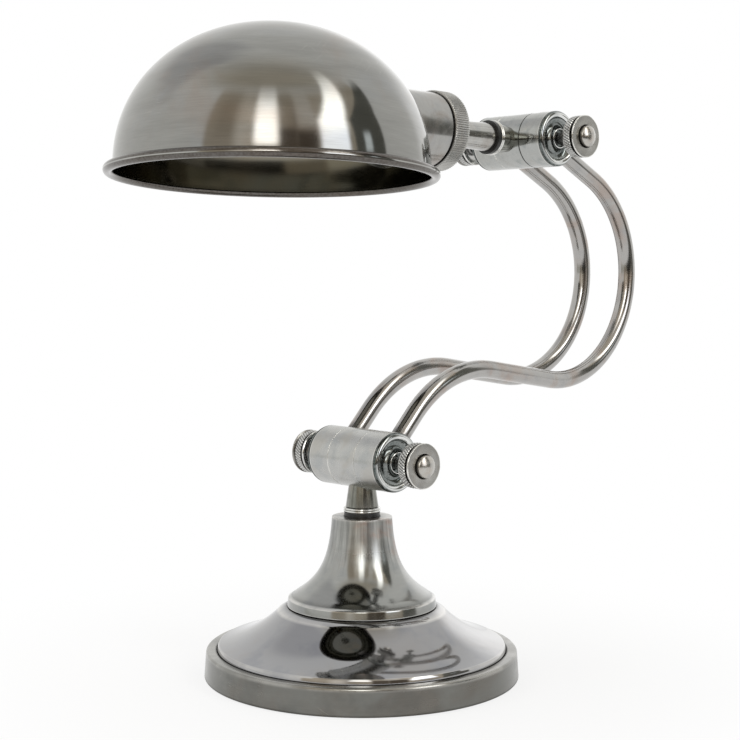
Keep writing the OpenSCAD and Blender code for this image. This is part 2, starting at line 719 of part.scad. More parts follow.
// ---- Lamp holder ----
module holder_cap() color(dark) at_stem() difference() {
    translate([0, 0, holder_d]) rotate_extrude() polygon(concat([[0, 0], [holder_r - 5, 0]],
        arc([holder_r - 5, 5], 5, -90, 0, round_steps),
        [[holder_r, holder_cap_l], [0, holder_cap_l]]));
    translate([0, 0, holder_d - 1]) cylinder(r = nipple_r, h = holder_floor_t + 2);
    translate([0, 0, holder_d + holder_floor_t])
        cylinder(r = holder_r - holder_wall - 2, h = holder_cap_l);
}

module holder_body() color(dark) at_stem() difference() {
    translate([0, 0, holder_body_d]) cylinder(r = holder_r, h = holder_l);
    translate([0, 0, shell_d]) cylinder(r = holder_r - holder_wall, h = holder_l);
    translate([0, 0, holder_body_d - 1]) cylinder(r = wire_r, h = holder_floor_t + 2);
}

module holder_shell() color(brass) at_stem() translate([0, 0, shell_d]) difference() {
    cylinder(r = shell_r + shell_t, h = shell_base_l + shell_l);
    translate([0, 0, shell_base_l]) cylinder(r = shell_r, h = shell_l + 1);
    translate([0, 0, shell_floor_t]) cylinder(r = shell_r - shell_step, h = shell_base_l);
    translate([0, 0, -1]) cylinder(r = contact_r + contact_gap, h = shell_floor_t + 2);
}

module holder_contact() color(brass) at_stem() translate([0, 0, shell_d]) {
    cylinder(r = contact_r, h = contact_t);
    cylinder(r = contact_tip_r, h = contact_h);
}

foot_ring();
base_weight();
felt_pad();
base_cover();
base_neck();
base_nipple();
base_washer();
base_nut();
cord_bush();
at_lower() spindle();  // base_spindle
at_lower() spindle_clip();  // base_spindle_clip
at_lower() friction_washer();  // base_friction_washer
at_lower() centre_knuckle();  // lower_centre_knuckle
at_lower() bead_ring();  // lower_bead_ring
at_lower() clamp_rod(far_nut_in);  // lower_clamp_rod
at_lower() { rod_button(-1); rod_button(1, far_nut_in); }  // lower_rod_buttons
at_lower() outer_knuckle(-1, rise_angle);  // lower_knuckle_near
at_lower() outer_knuckle(1, rise_angle);  // lower_knuckle_far
at_lower() end_cup(-1);  // lower_cup_near
at_lower() end_cup(1);  // lower_cup_far
at_lower() thumb_nut(-1);  // lower_nut_near
at_lower() thumb_nut(1, far_nut_in);  // lower_nut_far
arm(-1);  // arm_near
arm(1);  // arm_far
at_upper_post() centre_knuckle();  // upper_centre_knuckle
at_upper_post() bead_ring();  // upper_bead_ring
at_upper() clamp_rod();  // upper_clamp_rod
at_upper() { rod_button(-1); rod_button(1); }  // upper_rod_buttons
at_upper() outer_knuckle(-1, upper_socket);  // upper_knuckle_near
at_upper() outer_knuckle(1, upper_socket);  // upper_knuckle_far
at_upper() end_cup(-1);  // upper_cup_near
at_upper() end_cup(1);  // upper_cup_far
at_upper() thumb_nut(-1);  // upper_nut_near
at_upper() thumb_nut(1);  // upper_nut_far
at_head_swivel() spindle();  // head_spindle
at_head_swivel() spindle_clip();  // head_spindle_clip
at_head_swivel() friction_washer();  // head_friction_washer
head_stem();
head_nipple();
knurled_cap();
shade_neck();
shade_dome();
holder_cap();
holder_body();
holder_shell();
holder_contact();
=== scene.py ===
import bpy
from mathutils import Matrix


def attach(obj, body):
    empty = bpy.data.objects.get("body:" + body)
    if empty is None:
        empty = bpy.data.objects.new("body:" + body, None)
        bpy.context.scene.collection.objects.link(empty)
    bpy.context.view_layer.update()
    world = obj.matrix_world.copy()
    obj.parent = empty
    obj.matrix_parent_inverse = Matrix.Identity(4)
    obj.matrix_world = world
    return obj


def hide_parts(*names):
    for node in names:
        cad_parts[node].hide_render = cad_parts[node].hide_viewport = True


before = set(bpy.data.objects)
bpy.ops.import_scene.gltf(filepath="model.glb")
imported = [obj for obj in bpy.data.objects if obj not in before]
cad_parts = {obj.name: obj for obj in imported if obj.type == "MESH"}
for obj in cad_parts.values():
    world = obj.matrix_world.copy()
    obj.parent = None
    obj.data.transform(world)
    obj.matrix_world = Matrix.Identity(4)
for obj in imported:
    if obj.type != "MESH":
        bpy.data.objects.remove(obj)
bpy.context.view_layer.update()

import math

import bmesh
import bpy
from mathutils import Matrix, Vector

MM = 0.001
rad = math.radians
scene = bpy.context.scene

# ---------------------------------------------------------------- sizes, as in part.scad (mm)
# The foot's heights are from the table up, and its radii from its axis.
FOOT_R, FOOT_H, FOOT_LEAN, FOOT_ROUND, FOOT_LIFT = 100.0, 17.4, 1.2, 2.0, 0.6
SEAT_DEPTH, LEDGE_W, LEDGE_Z, FOOT_WALL = 2.0, 5.0, 6.0, 2.5
COVER_R, COVER_GAP, SHEET_T, LIP_H, EDGE_R, COVER_RISE, COVER_SAG = 91.9, 0.3, 1.2, 3.0, 53.1, 21.3, 3.3
BAND_R, SHELF_RISE, BAND_H, BAND_LEAN, BAND_GROOVE = 47.6, 2.4, 6.4, 1.2, 0.5
FLARE_H, NECK_TOP_R, FLARE_LEN = 50.9, 19.1, 15.0
COVER_HOLE_R, NECK_IN_R = 38.6, 43.0
CORD_Z, CORD_R, CORD_RIM_R, CORD_RIM_FROM, CORD_TO = 10.7, 4.25, 5.65, 11.4, 20.0
SEAT_Z = FOOT_H - SEAT_DEPTH
LIP_Z = FOOT_H + LIP_H
EDGE_Z = LIP_Z + COVER_RISE
SHELF_Z = EDGE_Z + SHELF_RISE
BAND_TOP_Z = SHELF_Z + BAND_H
NECK_Z = BAND_TOP_Z + FLARE_H

# The swivels are measured down the post from the hinge's axis.
BEAD_D, BEAD_H, BEAD_R, BEAD_OVER = 31.0, 2.5, 11.8, 0.4
WASHER_GAP, WASHER_T, BUSH_T = 0.1, 0.5, 2.8
BUSH_D = BEAD_D + BEAD_H + WASHER_GAP + WASHER_T
BUSH_END = BUSH_D + BUSH_T
BUSH_R, SPIGOT_R = 11.4, 7.0
POST_FOOT_R, POST_TOP_R, CLIP_FLOOR = 10.4, 8.4, 16.0

# The clamp hinges are measured along their axis from the middle.
DRUM_R, CENTRE_W, OUTER_W, SEAM = 18.7, 24.0, 18.2, 0.15
ROD_R, CUP_LIP, HOLLOW = 4.0, 2.2, 4.1
FAR_IN, BOSS_PROUD, BOSS_RECESS, BOSS_WALL = 3.0, 0.9, 1.5, 0.7
NUT_REACH, NUT_R, KNURL_W, DISC_T, GROOVE_W, GROOVE_D = 11.0, 14.1, 5.6, 1.7, 1.1, 1.5
HUB_R, HUB_GAP = 5.3, 0.7
OUTER_Y = CENTRE_W / 2 + SEAM
CUP_Y = OUTER_Y + OUTER_W
CREST_Y = CUP_Y + CUP_LIP
BOSS_Y = CREST_Y + BOSS_PROUD
HUB_Y, NUT_Y = BOSS_Y - BOSS_RECESS + SEAM + FAR_IN, BOSS_Y + NUT_REACH
BOSS_IN_R = HUB_R + HUB_GAP
HOLLOW_R = BOSS_IN_R + BOSS_WALL + HOLLOW
BAND_Y = NUT_Y + DISC_T + GROOVE_W
FACE_Y = BAND_Y + KNURL_W + GROOVE_W + DISC_T
BUTTON_R, BUTTON_GAP, RECESS, PROUD, BUTTON_DOME = 7.0, 0.9, 4.5, 2.5, 2.4

# Each part of an arm is a straight run, the radius of the bend after it and its turn in degrees.
TUBE_R, ARM_Y, TUBE_STOP, ARM_STEP = 6.0, 20.6, 11.0, 1.6
ARM = ((37.6, 82.2, -56.1), (59.0, 74.2, 162.6), (56.0, 0, 0))
RISE = 47.3

# The head is measured along its stem from the upper hinge's axis, and the shade from its rim's middle up.
HEAD_PITCH, HEAD_ROLL = 0.95, 2.2
CAP_BACK, CAP_L, CAP_R, CAP_ROUND, CAP_WALL, CAP_RIDGES, RIDGE_D = 79.0, 14.2, 25.9, 3.2, 2.3, 108, 0.5
STEM_FOOT_R, STEM_TOP_R = 9.7, 8.3
SLEEVE_GAP, SLEEVE_R, SLEEVE_WALL, FLANGE_W = 1.2, 24.4, 1.5, 2.8
SLEEVE_D = CAP_BACK + CAP_L + SLEEVE_GAP
CAP_IN_R = CAP_R - RIDGE_D - CAP_WALL
RIM_R, RIM_BEAD, RIM_BITE = 99.5, 3.0, 0.45
DOME_H, SKIRT, POWER, SHADE_T = 88.1, 2.8, 2.085, 1.0
REACH, DROP, SET = 223.9, 37.2, 1.7
DOME_R = RIM_R - 2 * RIM_BEAD + RIM_BITE

# ---------------------------------------------------------------- frames
LOWER_Z = NECK_Z + BUSH_END


def heading(a):
    return Vector((math.cos(rad(a)), math.sin(rad(a))))


def arm_path():
    """The tubes' centreline in X and Z, as points with directions, and the upper hinge's axis."""
    p, a, out = Vector((0.0, LOWER_Z)), RISE, []
    for i, (straight, bend_r, turn) in enumerate(ARM):
        start = TUBE_STOP if i == 0 else 0.0
        stop = straight - (TUBE_STOP if i == 2 else 0.0)
        n = max(2, int((stop - start) / (ARM_STEP * 2.5)))
        for k in range(n):
            s = start + (stop - start) * k / n
            out.append((p + heading(a) * s, a))
        end = p + heading(a) * straight
        if not turn:
            out.append((p + heading(a) * stop, a))
            return out, end
        side = 1 if turn > 0 else -1
        c = end + heading(a + 90 * side) * bend_r
        n = int(abs(turn) * bend_r * math.pi / 180 / ARM_STEP)
        for k in range(n):
            t = turn * k / n
            out.append((c + heading(a - 90 * side + t) * bend_r, a + t))
        p, a = c + heading(a - 90 * side + turn) * bend_r, a + turn


ARM_POINTS, UPPER = arm_path()



def rot(degrees, axis):
    return Matrix.Rotation(rad(degrees), 4, axis)


def at(x, y, z):
    return Matrix.Translation((x * MM, y * MM, z * MM))


AT_BASE = Matrix.Identity(4)
AT_LOWER = at(0, 0, LOWER_Z)
AT_UPPER = at(UPPER.x, 0, UPPER.y)
AT_UPPER_POST = AT_UPPER @ rot(HEAD_PITCH + 90, "Y")
AT_HEAD = AT_UPPER @ rot(HEAD_PITCH, "Y") @ rot(-HEAD_ROLL, "X")
AT_STEM = AT_HEAD @ rot(-90, "Y")
AT_SHADE = AT_HEAD @ at(-REACH, 0, -DROP) @ rot(SET, "Y")
ALONG_Y = {1: rot(-90, "X"), -1: rot(90, "X")}
DOWN = rot(180, "X")

# ---------------------------------------------------------------- camera, fitted to the photograph
PHOTO_W, SENSOR_W = 740, 36.0
heading_deg, distance, height = 42.553, 940.13, 254.79
focal_px, yaw_deg, pitch_deg, roll_deg = 1490.58, 0.29, 3.679, 0.187
up = Vector((0, 0, 1))
toward = Vector((math.sin(rad(heading_deg)), math.cos(rad(heading_deg)), 0))
across = Vector((math.cos(rad(heading_deg)), -math.sin(rad(heading_deg)), 0))
eye = (-toward * distance + up * height) * MM


def turned(a, b, degrees):
    """Two directions at right angles, the first turned towards the second and the second with it."""
    c, s = math.cos(rad(degrees)), math.sin(rad(degrees))
    return a * c + b * s, b * c - a * s


ahead, right = turned(toward, across, yaw_deg)
above, ahead = turned(up, ahead, pitch_deg)
right, above = turned(right, above, roll_deg)
cam_data = bpy.data.cameras.new("camera")
cam = bpy.data.objects.new("camera", cam_data)
scene.collection.objects.link(cam)
cam_data.sensor_fit = "HORIZONTAL"
cam_data.sensor_width = SENSOR_W
cam_data.lens = focal_px / PHOTO_W * SENSOR_W
cam_data.clip_start, cam_data.clip_end = 0.05, 60
cam.matrix_world = Matrix((
    (right.x, above.x, -ahead.x, eye.x), (right.y, above.y, -ahead.y, eye.y),
    (right.z, above.z, -ahead.z, eye.z), (0, 0, 0, 1)))
scene.camera = cam


# ---------------------------------------------------------------- node helpers
class Nodes:
    """Builds shader nodes with plain calls."""

    def __init__(self, tree):
        self.t = tree
        self.t.nodes.clear()

    def add(self, kind, **props):
        n = self.t.nodes.new(kind)
        for k, v in props.items():
            setattr(n, k, v)
        return n

    def put(self, value, socket):
        if isinstance(value, bpy.types.NodeSocket):
            self.t.links.new(value, socket)
        elif isinstance(value, (tuple, list)) and len(value) == 3 and socket.type == "RGBA":
            socket.default_value = (*value, 1)
        else:
            socket.default_value = value

    def math(self, op, a, b=0.0, c=0.0, clamp=False):
        n = self.add("ShaderNodeMath", operation=op, use_clamp=clamp)
        for s, v in zip(n.inputs, (a, b, c)):
            self.put(v, s)
        return n.outputs[0]

    def plus(self, a, b, clamp=False):
        return self.math("ADD", a, b, clamp=clamp)

    def minus(self, a, b):
        return self.math("SUBTRACT", a, b)

    def times(self, a, b, clamp=False):
        return self.math("MULTIPLY", a, b, clamp=clamp)

    def vmath(self, op, a, b=(0, 0, 0)):
        n = self.add("ShaderNodeVectorMath", operation=op)
        self.put(a, n.inputs[0])
        self.put(b, n.inputs[1])
        return n.outputs["Value" if op in ("DOT_PRODUCT", "LENGTH") else "Vector"]

    def step(self, value, lo, hi, a=0.0, b=1.0):
        """A smooth step from a at lo to b at hi."""
        n = self.add("ShaderNodeMapRange", interpolation_type="SMOOTHSTEP")
        for s, v in zip(n.inputs, (value, lo, hi, a, b)):
            self.put(v, s)
        return n.outputs[0]

    def mix(self, fac, a, b, blend="MIX"):
        """A mix of two colours. The node's colours are its inputs 6 and 7 and its output 2."""
        n = self.add("ShaderNodeMix", data_type="RGBA", blend_type=blend)
        for i, v in ((0, fac), (6, a), (7, b)):
            self.put(v, n.inputs[i])
        return n.outputs[2]

    def combine(self, x, y, z):
        n = self.add("ShaderNodeCombineXYZ")
        for s, v in zip(n.inputs, (x, y, z)):
            self.put(v, s)
        return n.outputs[0]

    def noise(self, vector, scale=1.0, detail=2.0, rough=0.5, distortion=0.0):
        n = self.add("ShaderNodeTexNoise")
        self.put(vector, n.inputs["Vector"])
        self.put(scale, n.inputs["Scale"])
        self.put(detail, n.inputs["Detail"])
        self.put(rough, n.inputs["Roughness"])
        self.put(distortion, n.inputs["Distortion"])
        return n.outputs["Fac"]


# ---------------------------------------------------------------- materials
# the scratches' colour, and the colour of a side painted paler as a painted reflection
SCRATCH, LIT_SIDE_COLOUR = (0.50, 0.48, 0.45), (0.62, 0.61, 0.60)


def shader(name, base):
    """A new material with its nodes, its shader and the piece's own coordinates."""
    m = bpy.data.materials.new(name)
    m.use_nodes = True
    m.diffuse_color = (*base, 1)
    n = Nodes(m.node_tree)
    out = n.add("ShaderNodeOutputMaterial")
    bsdf = n.add("ShaderNodeBsdfPrincipled")
    n.t.links.new(bsdf.outputs[0], out.inputs[0])
    return m, n, bsdf, n.add("ShaderNodeTexCoord").outputs["Object"]


def relief(n, bsdf, height, strength, depth):
    b = n.add("ShaderNodeBump")
    b.inputs["Strength"].default_value = strength
    b.inputs["Distance"].default_value = depth
    n.put(height, b.inputs["Height"])
    n.put(b.outputs[0], bsdf.inputs["Normal"])


def ring_lines(n, cx, cy, z, radius, line_scale):
    """Fine and broad brushing in rings round the axis of a turned piece."""
    along = n.times(n.minus(z, radius), line_scale)
    return (n.combine(n.times(cx, 5.0), n.times(cy, 5.0), along),
            n.combine(n.times(cx, 1.6), n.times(cy, 1.6), n.times(along, 0.07)))


def tube_lines(n):
    """Fine and broad brushing along a bent tube, by the map along its path."""
    split = n.add("ShaderNodeSeparateXYZ")
    n.put(n.add("ShaderNodeUVMap", uv_map="path").outputs[0], split.inputs[0])
    turn, run = n.times(split.outputs[0], 2 * math.pi), split.outputs[1]
    ux, uy = n.math("COSINE", turn), n.math("SINE", turn)
    return (n.combine(n.times(ux, 14.0), n.times(uy, 14.0), n.times(run, 90.0)),
            n.combine(n.times(ux, 1.4), n.times(uy, 1.4), n.times(run, 26.0)))


def hand_scratches(n, x, y, z, seed):
    """Fine scratches in three directions."""
    marks = None
    for k, (turn, scale) in enumerate(((0.6, 300.0), (-0.9, 380.0), (1.9, 260.0))):
        rx = n.plus(n.times(x, math.cos(turn)), n.times(z, math.sin(turn)))
        rz = n.minus(n.times(z, math.cos(turn)), n.times(x, math.sin(turn)))
        v = n.combine(n.times(rx, scale * 0.06), n.times(y, scale * 0.5), n.times(rz, scale * 5.0))
        s = n.step(n.noise(n.vmath("ADD", v, (seed * 5 + k * 7.7, k, k)), 1.0, 2.0, 0.4), 0.66, 0.80)
        marks = s if marks is None else n.math("MAXIMUM", marks, s)
    return marks


def metal(name, base, rough, brown=(0.27, 0.225, 0.19), cool=(0.29, 0.30, 0.31), warm_amount=0.5,
          cool_amount=0.4, blotch=28.0, brushing=0.5, lines="rings", line_scale=2600.0,
          rough_vary=0.08, scratches=0.35, seed=0.0, grime_and_painted_light=(0.02, 0.018, 0.015), grime_and_shade_rough=0.35,
          bump=0.05, warm_above=None, rough_above=0.0, streaks=0.0, edge=(0.62, 0.605, 0.58),
          lit_side=None):
    """
    Old nickel: brushing, warm and cool blotches, scratches, soiling and painted shade in corners,
    and worn edges with painted highlights.
    warm_above keeps warmth, streaks and rough_above to the part above two heights in metres.
    The side facing the last argument's direction is painted paler by its amount, a painted reflection.
    """
    m, n, bsdf, obj = shader(name, base)
    split = n.add("ShaderNodeSeparateXYZ")
    n.put(obj, split.inputs[0])
    x, y, z = split.outputs
    radius = n.math("MAXIMUM", n.math("SQRT", n.plus(n.times(x, x), n.times(y, y))), 0.0005)
    cx, cy = n.math("DIVIDE", x, radius), n.math("DIVIDE", y, radius)
    fine, broad = ring_lines(n, cx, cy, z, radius, line_scale) if lines == "rings" else tube_lines(n)
    shift = n.vmath("ADD", obj, (seed, seed * 0.7, seed * 1.3))
    streak = n.noise(fine, 1.0, 3.0, 0.6)
    bands = n.noise(broad, 1.0, 4.0, 0.55)
    cloud = n.noise(shift, blotch, 4.0, 0.6, 0.6)
    cloud2 = n.noise(n.vmath("ADD", obj, (seed + 3.1, 1.7, seed - 2.3)), blotch * 2.3, 3.0, 0.55)
    # colour: warm and cool blotches, brushing, a side painted paler as a painted reflection, and long streaks
    high = n.step(z, *warm_above) if warm_above else 1.0
    warm = n.times(n.times(n.step(cloud, 0.45, 0.70), warm_amount), high)
    colour = n.mix(warm, base, brown)
    colour = n.mix(n.times(n.step(cloud2, 0.48, 0.72), cool_amount), colour, cool)
    tone = n.plus(n.times(n.minus(bands, 0.5), 0.55 * brushing),
                  n.times(n.minus(streak, 0.5), 0.30 * brushing))
    # one side painted paler, a painted reflection
    if lit_side:
        facing = n.vmath("DOT_PRODUCT", n.combine(cx, cy, 0.0), lit_side[0])
        facing = n.plus(facing, n.times(n.minus(cloud2, 0.5), 0.25))
        colour = n.mix(n.step(facing, 0.80, 0.97, 0.0, lit_side[1]), colour, LIT_SIDE_COLOUR)
    if streaks:
        length = n.noise(n.combine(n.times(cx, 9.0), n.times(cy, 9.0), n.times(z, 25.0)), 1.0, 4.0, 0.65)
        tone = n.plus(tone, n.times(n.times(n.minus(length, 0.5), high), streaks * 2.4))
    colour = n.mix(1.0, colour, n.combine(*[n.plus(tone, 1.0)] * 3), "MULTIPLY")
    worn = n.step(n.noise(n.vmath("ADD", obj, (9.1 + seed, 4.2, 1.1)), blotch * 1.4, 2.0), 0.5, 0.62)
    marks = n.times(n.times(hand_scratches(n, x, y, z, seed), worn), scratches)
    colour = n.mix(marks, colour, SCRATCH)
    # the mesh's value is soiling and painted shade in corners where it is positive,
    # and a worn edge with a painted highlight where it is negative
    grime_and_light_value = n.add("ShaderNodeAttribute", attribute_name="grime_and_painted_light").outputs["Fac"]
    grime_and_shade = n.times(grime_and_light_value, n.step(n.noise(shift, 700.0, 2.0), 0.35, 0.75, 0.75, 1.0), clamp=True)
    wear_and_highlight = n.times(n.times(grime_and_light_value, -1.0), n.step(n.noise(shift, blotch * 2.0, 3.0), 0.34, 0.58, 0.35, 1.0),
                    clamp=True)
    colour = n.mix(grime_and_shade, colour, grime_and_painted_light)
    n.put(n.mix(wear_and_highlight, colour, edge), bsdf.inputs["Base Color"])
    bsdf.inputs["Metallic"].default_value = 1.0
    # roughness: brushing, blotches, scratches, and the corners of soiling and painted shade
    gloss = n.plus(rough, n.times(n.minus(bands, 0.5), rough_vary * 1.6))
    gloss = n.plus(gloss, n.times(n.step(cloud, 0.4, 0.7), rough_vary))
    if rough_above:
        gloss = n.plus(gloss, n.times(high, rough_above))
    gloss = n.plus(gloss, n.times(marks, 0.25))
    n.put(n.plus(gloss, n.times(grime_and_shade, grime_and_shade_rough), clamp=True), bsdf.inputs["Roughness"])
    relief(n, bsdf, n.minus(streak, n.times(marks, 0.8)), bump, 0.00005)
    return m


def plain(name, base, rough, vary=0.3, grain=900.0, metallic=0.0, bump=0.2, sheen=0.0, depth=0.0001):
    """Moulded plastic, rubber, felt or cast iron: grain, mottling and uneven gloss."""
    m, n, bsdf, obj = shader(name, base)
    cloud = n.noise(obj, grain * 0.05, 3.0)
    fine = n.noise(obj, grain, 3.0, 0.6)
    lift = n.plus(1.0, n.times(n.minus(n.plus(cloud, fine), 1.0), vary * 2))
    n.put(n.mix(1.0, base, n.combine(lift, lift, lift), "MULTIPLY"), bsdf.inputs["Base Color"])
    n.put(n.plus(rough, n.times(n.minus(cloud, 0.5), 0.25), clamp=True), bsdf.inputs["Roughness"])
    bsdf.inputs["Metallic"].default_value = metallic
    if sheen:
        bsdf.inputs["Sheen Weight"].default_value = sheen
    relief(n, bsdf, fine, bump, depth)
    return m


SHADE_METAL = metal("shade_metal", (0.272, 0.27, 0.255), 0.085, blotch=14.0, brushing=0.8, seed=1.0,
                    line_scale=1100.0, rough_vary=0.05, scratches=0.3, warm_amount=0.5, cool_amount=0.3,
                    grime_and_painted_light=(0.05, 0.036, 0.028), grime_and_shade_rough=0.1)
# the cover's side towards the camera's right is painted paler, a painted reflection
COVER_METAL = metal("cover_metal", (0.31, 0.31, 0.317), 0.055, blotch=22.0, brushing=0.12, seed=2.0,
                    cool=(0.245, 0.25, 0.27), cool_amount=0.7, rough_vary=0.04, warm_amount=0.35,
                    brown=(0.31, 0.285, 0.26), scratches=0.15, bump=0.02,
                    lit_side=((math.cos(rad(-38)), math.sin(rad(-38)), 0.0), 0.5))
NECK_METAL = metal("neck_metal", (0.32, 0.322, 0.308), 0.11, blotch=34.0, brushing=0.45, seed=3.0,
                   brown=(0.36, 0.235, 0.185), warm_amount=0.9, rough_vary=0.05, scratches=0.2, bump=0.03,
                   cool=(0.25, 0.26, 0.26), cool_amount=0.55, warm_above=(0.064, 0.088), rough_above=0.2,
                   streaks=0.8)
FOOT_METAL = metal("foot_metal", (0.185, 0.185, 0.172), 0.2, blotch=22.0, brushing=0.6, seed=4.0,
                   brown=(0.15, 0.13, 0.11), warm_amount=0.5, rough_vary=0.08, scratches=0.2,
                   cool=(0.12, 0.122, 0.115), cool_amount=0.45, edge=(0.42, 0.41, 0.385))
DRUM_METAL = metal("drum_metal", (0.46, 0.46, 0.445), 0.24, blotch=45.0, brushing=0.45, seed=5.0,
                   warm_amount=0.35, brown=(0.43, 0.395, 0.33), cool=(0.37, 0.385, 0.385), rough_vary=0.14,
                   cool_amount=0.6, scratches=0.3, edge=(0.85, 0.84, 0.8))
UPPER_DRUM_METAL = metal("upper_drum_metal", (0.40, 0.405, 0.39), 0.13, blotch=50.0, brushing=0.4, seed=25.0,
                         warm_amount=0.4, brown=(0.34, 0.32, 0.28), cool=(0.27, 0.29, 0.285), cool_amount=0.7,
                         rough_vary=0.12, scratches=0.3, edge=(0.8, 0.79, 0.75))
# its darkening colour is a dark green, so the hollow's painted reflection and the corners' shade come out
# green
CUP_METAL = metal("cup_metal", (0.52, 0.53, 0.52), 0.075, blotch=60.0, brushing=0.12, seed=6.0,
                  warm_amount=0.1, cool=(0.27, 0.31, 0.31), cool_amount=0.5, scratches=0.1,
                  grime_and_painted_light=(0.035, 0.05, 0.046), grime_and_shade_rough=0.04, edge=(0.88, 0.88, 0.86))
NUT_METAL = metal("nut_metal", (0.36, 0.352, 0.33), 0.22, blotch=80.0, brushing=0.9, seed=7.0,
                  line_scale=3600.0, warm_amount=0.5, rough_vary=0.1, scratches=0.25,
                  brown=(0.28, 0.25, 0.21), edge=(0.85, 0.84, 0.80))
NUT_BACK_METAL = metal("nut_back_metal", (0.50, 0.50, 0.49), 0.12, blotch=70.0, brushing=0.3, seed=15.0,
                       warm_amount=0.2, scratches=0.2, edge=(0.85, 0.84, 0.80))
KNURL_METAL = metal("knurl_metal", (0.62, 0.62, 0.60), 0.2, blotch=90.0, brushing=0.1, seed=16.0,
                    warm_amount=0.2, scratches=0.0)
BEAD_METAL = metal("bead_metal", (0.70, 0.70, 0.67), 0.1, blotch=90.0, brushing=0.1, seed=17.0,
                   warm_amount=0.2, scratches=0.1)
BUTTON_METAL = metal("button_metal", (0.50, 0.485, 0.45), 0.19, blotch=120.0, brushing=0.2, seed=8.0,
                     warm_amount=0.5, brown=(0.40, 0.33, 0.28), scratches=0.6)
ARM_METAL = metal("arm_metal", (0.41, 0.40, 0.385), 0.12, blotch=40.0, brushing=0.65, seed=9.0,
                  lines="tube", brown=(0.37, 0.29, 0.245), warm_amount=0.6, rough_vary=0.06, bump=0.01)
POST_METAL = metal("post_metal", (0.27, 0.272, 0.245), 0.12, blotch=60.0, brushing=0.3, seed=10.0,
                   warm_amount=0.3, cool=(0.16, 0.175, 0.15), cool_amount=0.7, rough_vary=0.06, streaks=0.7)
STEM_METAL = metal("stem_metal", (0.42, 0.415, 0.395), 0.12, blotch=60.0, brushing=0.5, seed=20.0,
                   warm_amount=0.4, rough_vary=0.06, streaks=0.3)
CAP_METAL = metal("cap_metal", (0.52, 0.515, 0.49), 0.24, blotch=50.0, brushing=0.25, seed=11.0,
                  warm_amount=0.3, rough_vary=0.1)
SLEEVE_METAL = metal("sleeve_metal", (0.36, 0.355, 0.34), 0.13, blotch=50.0, brushing=0.5, seed=18.0,
                     warm_amount=0.5, rough_vary=0.08)
INSIDE_METAL = metal("inside_metal", (0.22, 0.218, 0.19), 0.06, blotch=11.0, brushing=0.4, seed=12.0,
                     brown=(0.25, 0.22, 0.165), warm_amount=0.8, cool=(0.15, 0.16, 0.14), cool_amount=0.7,
                     scratches=0.1)
ROD_METAL = metal("rod_metal", (0.30, 0.29, 0.28), 0.3, blotch=90.0, brushing=0.4, seed=13.0)
BRASS = metal("brass_metal", (0.55, 0.40, 0.18), 0.28, brown=(0.32, 0.22, 0.10), cool=(0.55, 0.42, 0.2),
              blotch=80.0, brushing=0.3, seed=14.0)
BLACK = plain("black_bush", (0.012, 0.012, 0.011), 0.35, vary=0.4, bump=0.1)
BAKELITE = plain("holder_black", (0.016, 0.015, 0.014), 0.3, vary=0.35, bump=0.08)
IRON = plain("weight_iron", (0.04, 0.04, 0.042), 0.6, vary=0.4, metallic=0.3, grain=500.0, bump=0.5)
FELT = plain("felt", (0.022, 0.045, 0.035), 0.95, vary=0.5, grain=2200.0, bump=0.9, sheen=0.4, depth=0.0003)


# ---------------------------------------------------------------- mesh helpers
def finish_mesh(bm, name, matrix, material, body, nodes, sharp=32, closed=True):
    """Makes a piece that rides on a body in place of CAD nodes."""
    if closed:
        bmesh.ops.recalc_face_normals(bm, faces=bm.faces)
    me = bpy.data.meshes.new(name)
    bm.to_mesh(me)
    bm.free()
    for p in me.polygons:
        p.use_smooth = True
    me.set_sharp_from_angle(angle=rad(sharp))
    o = bpy.data.objects.new(name, me)
    scene.collection.objects.link(o)
    o.matrix_world = matrix
    me.materials.append(material)
    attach(o, body)
    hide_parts(*nodes)
    return o


def round_path(points, n=5):
    """Profile points (r, z[, rounding[, soiling and painted light]]) with their corners rounded, as (r, z,
    that value).
    """
    pts = [(*p, 0.0, 0.0)[:4] for p in points]
    out = []
    for i, (x, z, rounding, d) in enumerate(pts):
        if rounding <= 0 or i in (0, len(pts) - 1):
            out.append((x, z, d))
            continue
        a, b, c = Vector(pts[i - 1][:2]), Vector((x, z)), Vector(pts[i + 1][:2])
        to_last, to_next = (a - b).normalized(), (c - b).normalized()
        half = math.acos(max(-1, min(1, to_last.dot(to_next)))) / 2
        if half > rad(88):
            out.append((x, z, d))
            continue
        cut = min(rounding / math.tan(half), (a - b).length * 0.49, (c - b).length * 0.49)
        fillet = cut * math.tan(half)
        centre = b + (to_last + to_next).normalized() * (fillet / math.sin(half))
        p0, p1 = b + to_last * cut - centre, b + to_next * cut - centre
        a0 = math.atan2(p0.y, p0.x)
        turn = (math.atan2(p1.y, p1.x) - a0 + math.pi) % (2 * math.pi) - math.pi
        for k in range(n + 1):
            t = a0 + turn * k / n
            out.append((centre.x + fillet * math.cos(t), centre.y + fillet * math.sin(t), d))
    return out


def arc(cx, cz, rr, a0, a1, n):
    """Clean profile points on an arc, from angle a0 to a1 in degrees."""
    angles = [rad(a0 + (a1 - a0) * i / n) for i in range(n + 1)]
    return [(cx + rr * math.cos(a), cz + rr * math.sin(a), 0.0, 0.0) for a in angles]


def with_grime_and_light(points, grime_and_painted_light):
    """The same profile points with their soiling and painted light given by their number."""
    return [(p[0], p[1], 0, grime_and_painted_light(i)) for i, p in enumerate(points)]


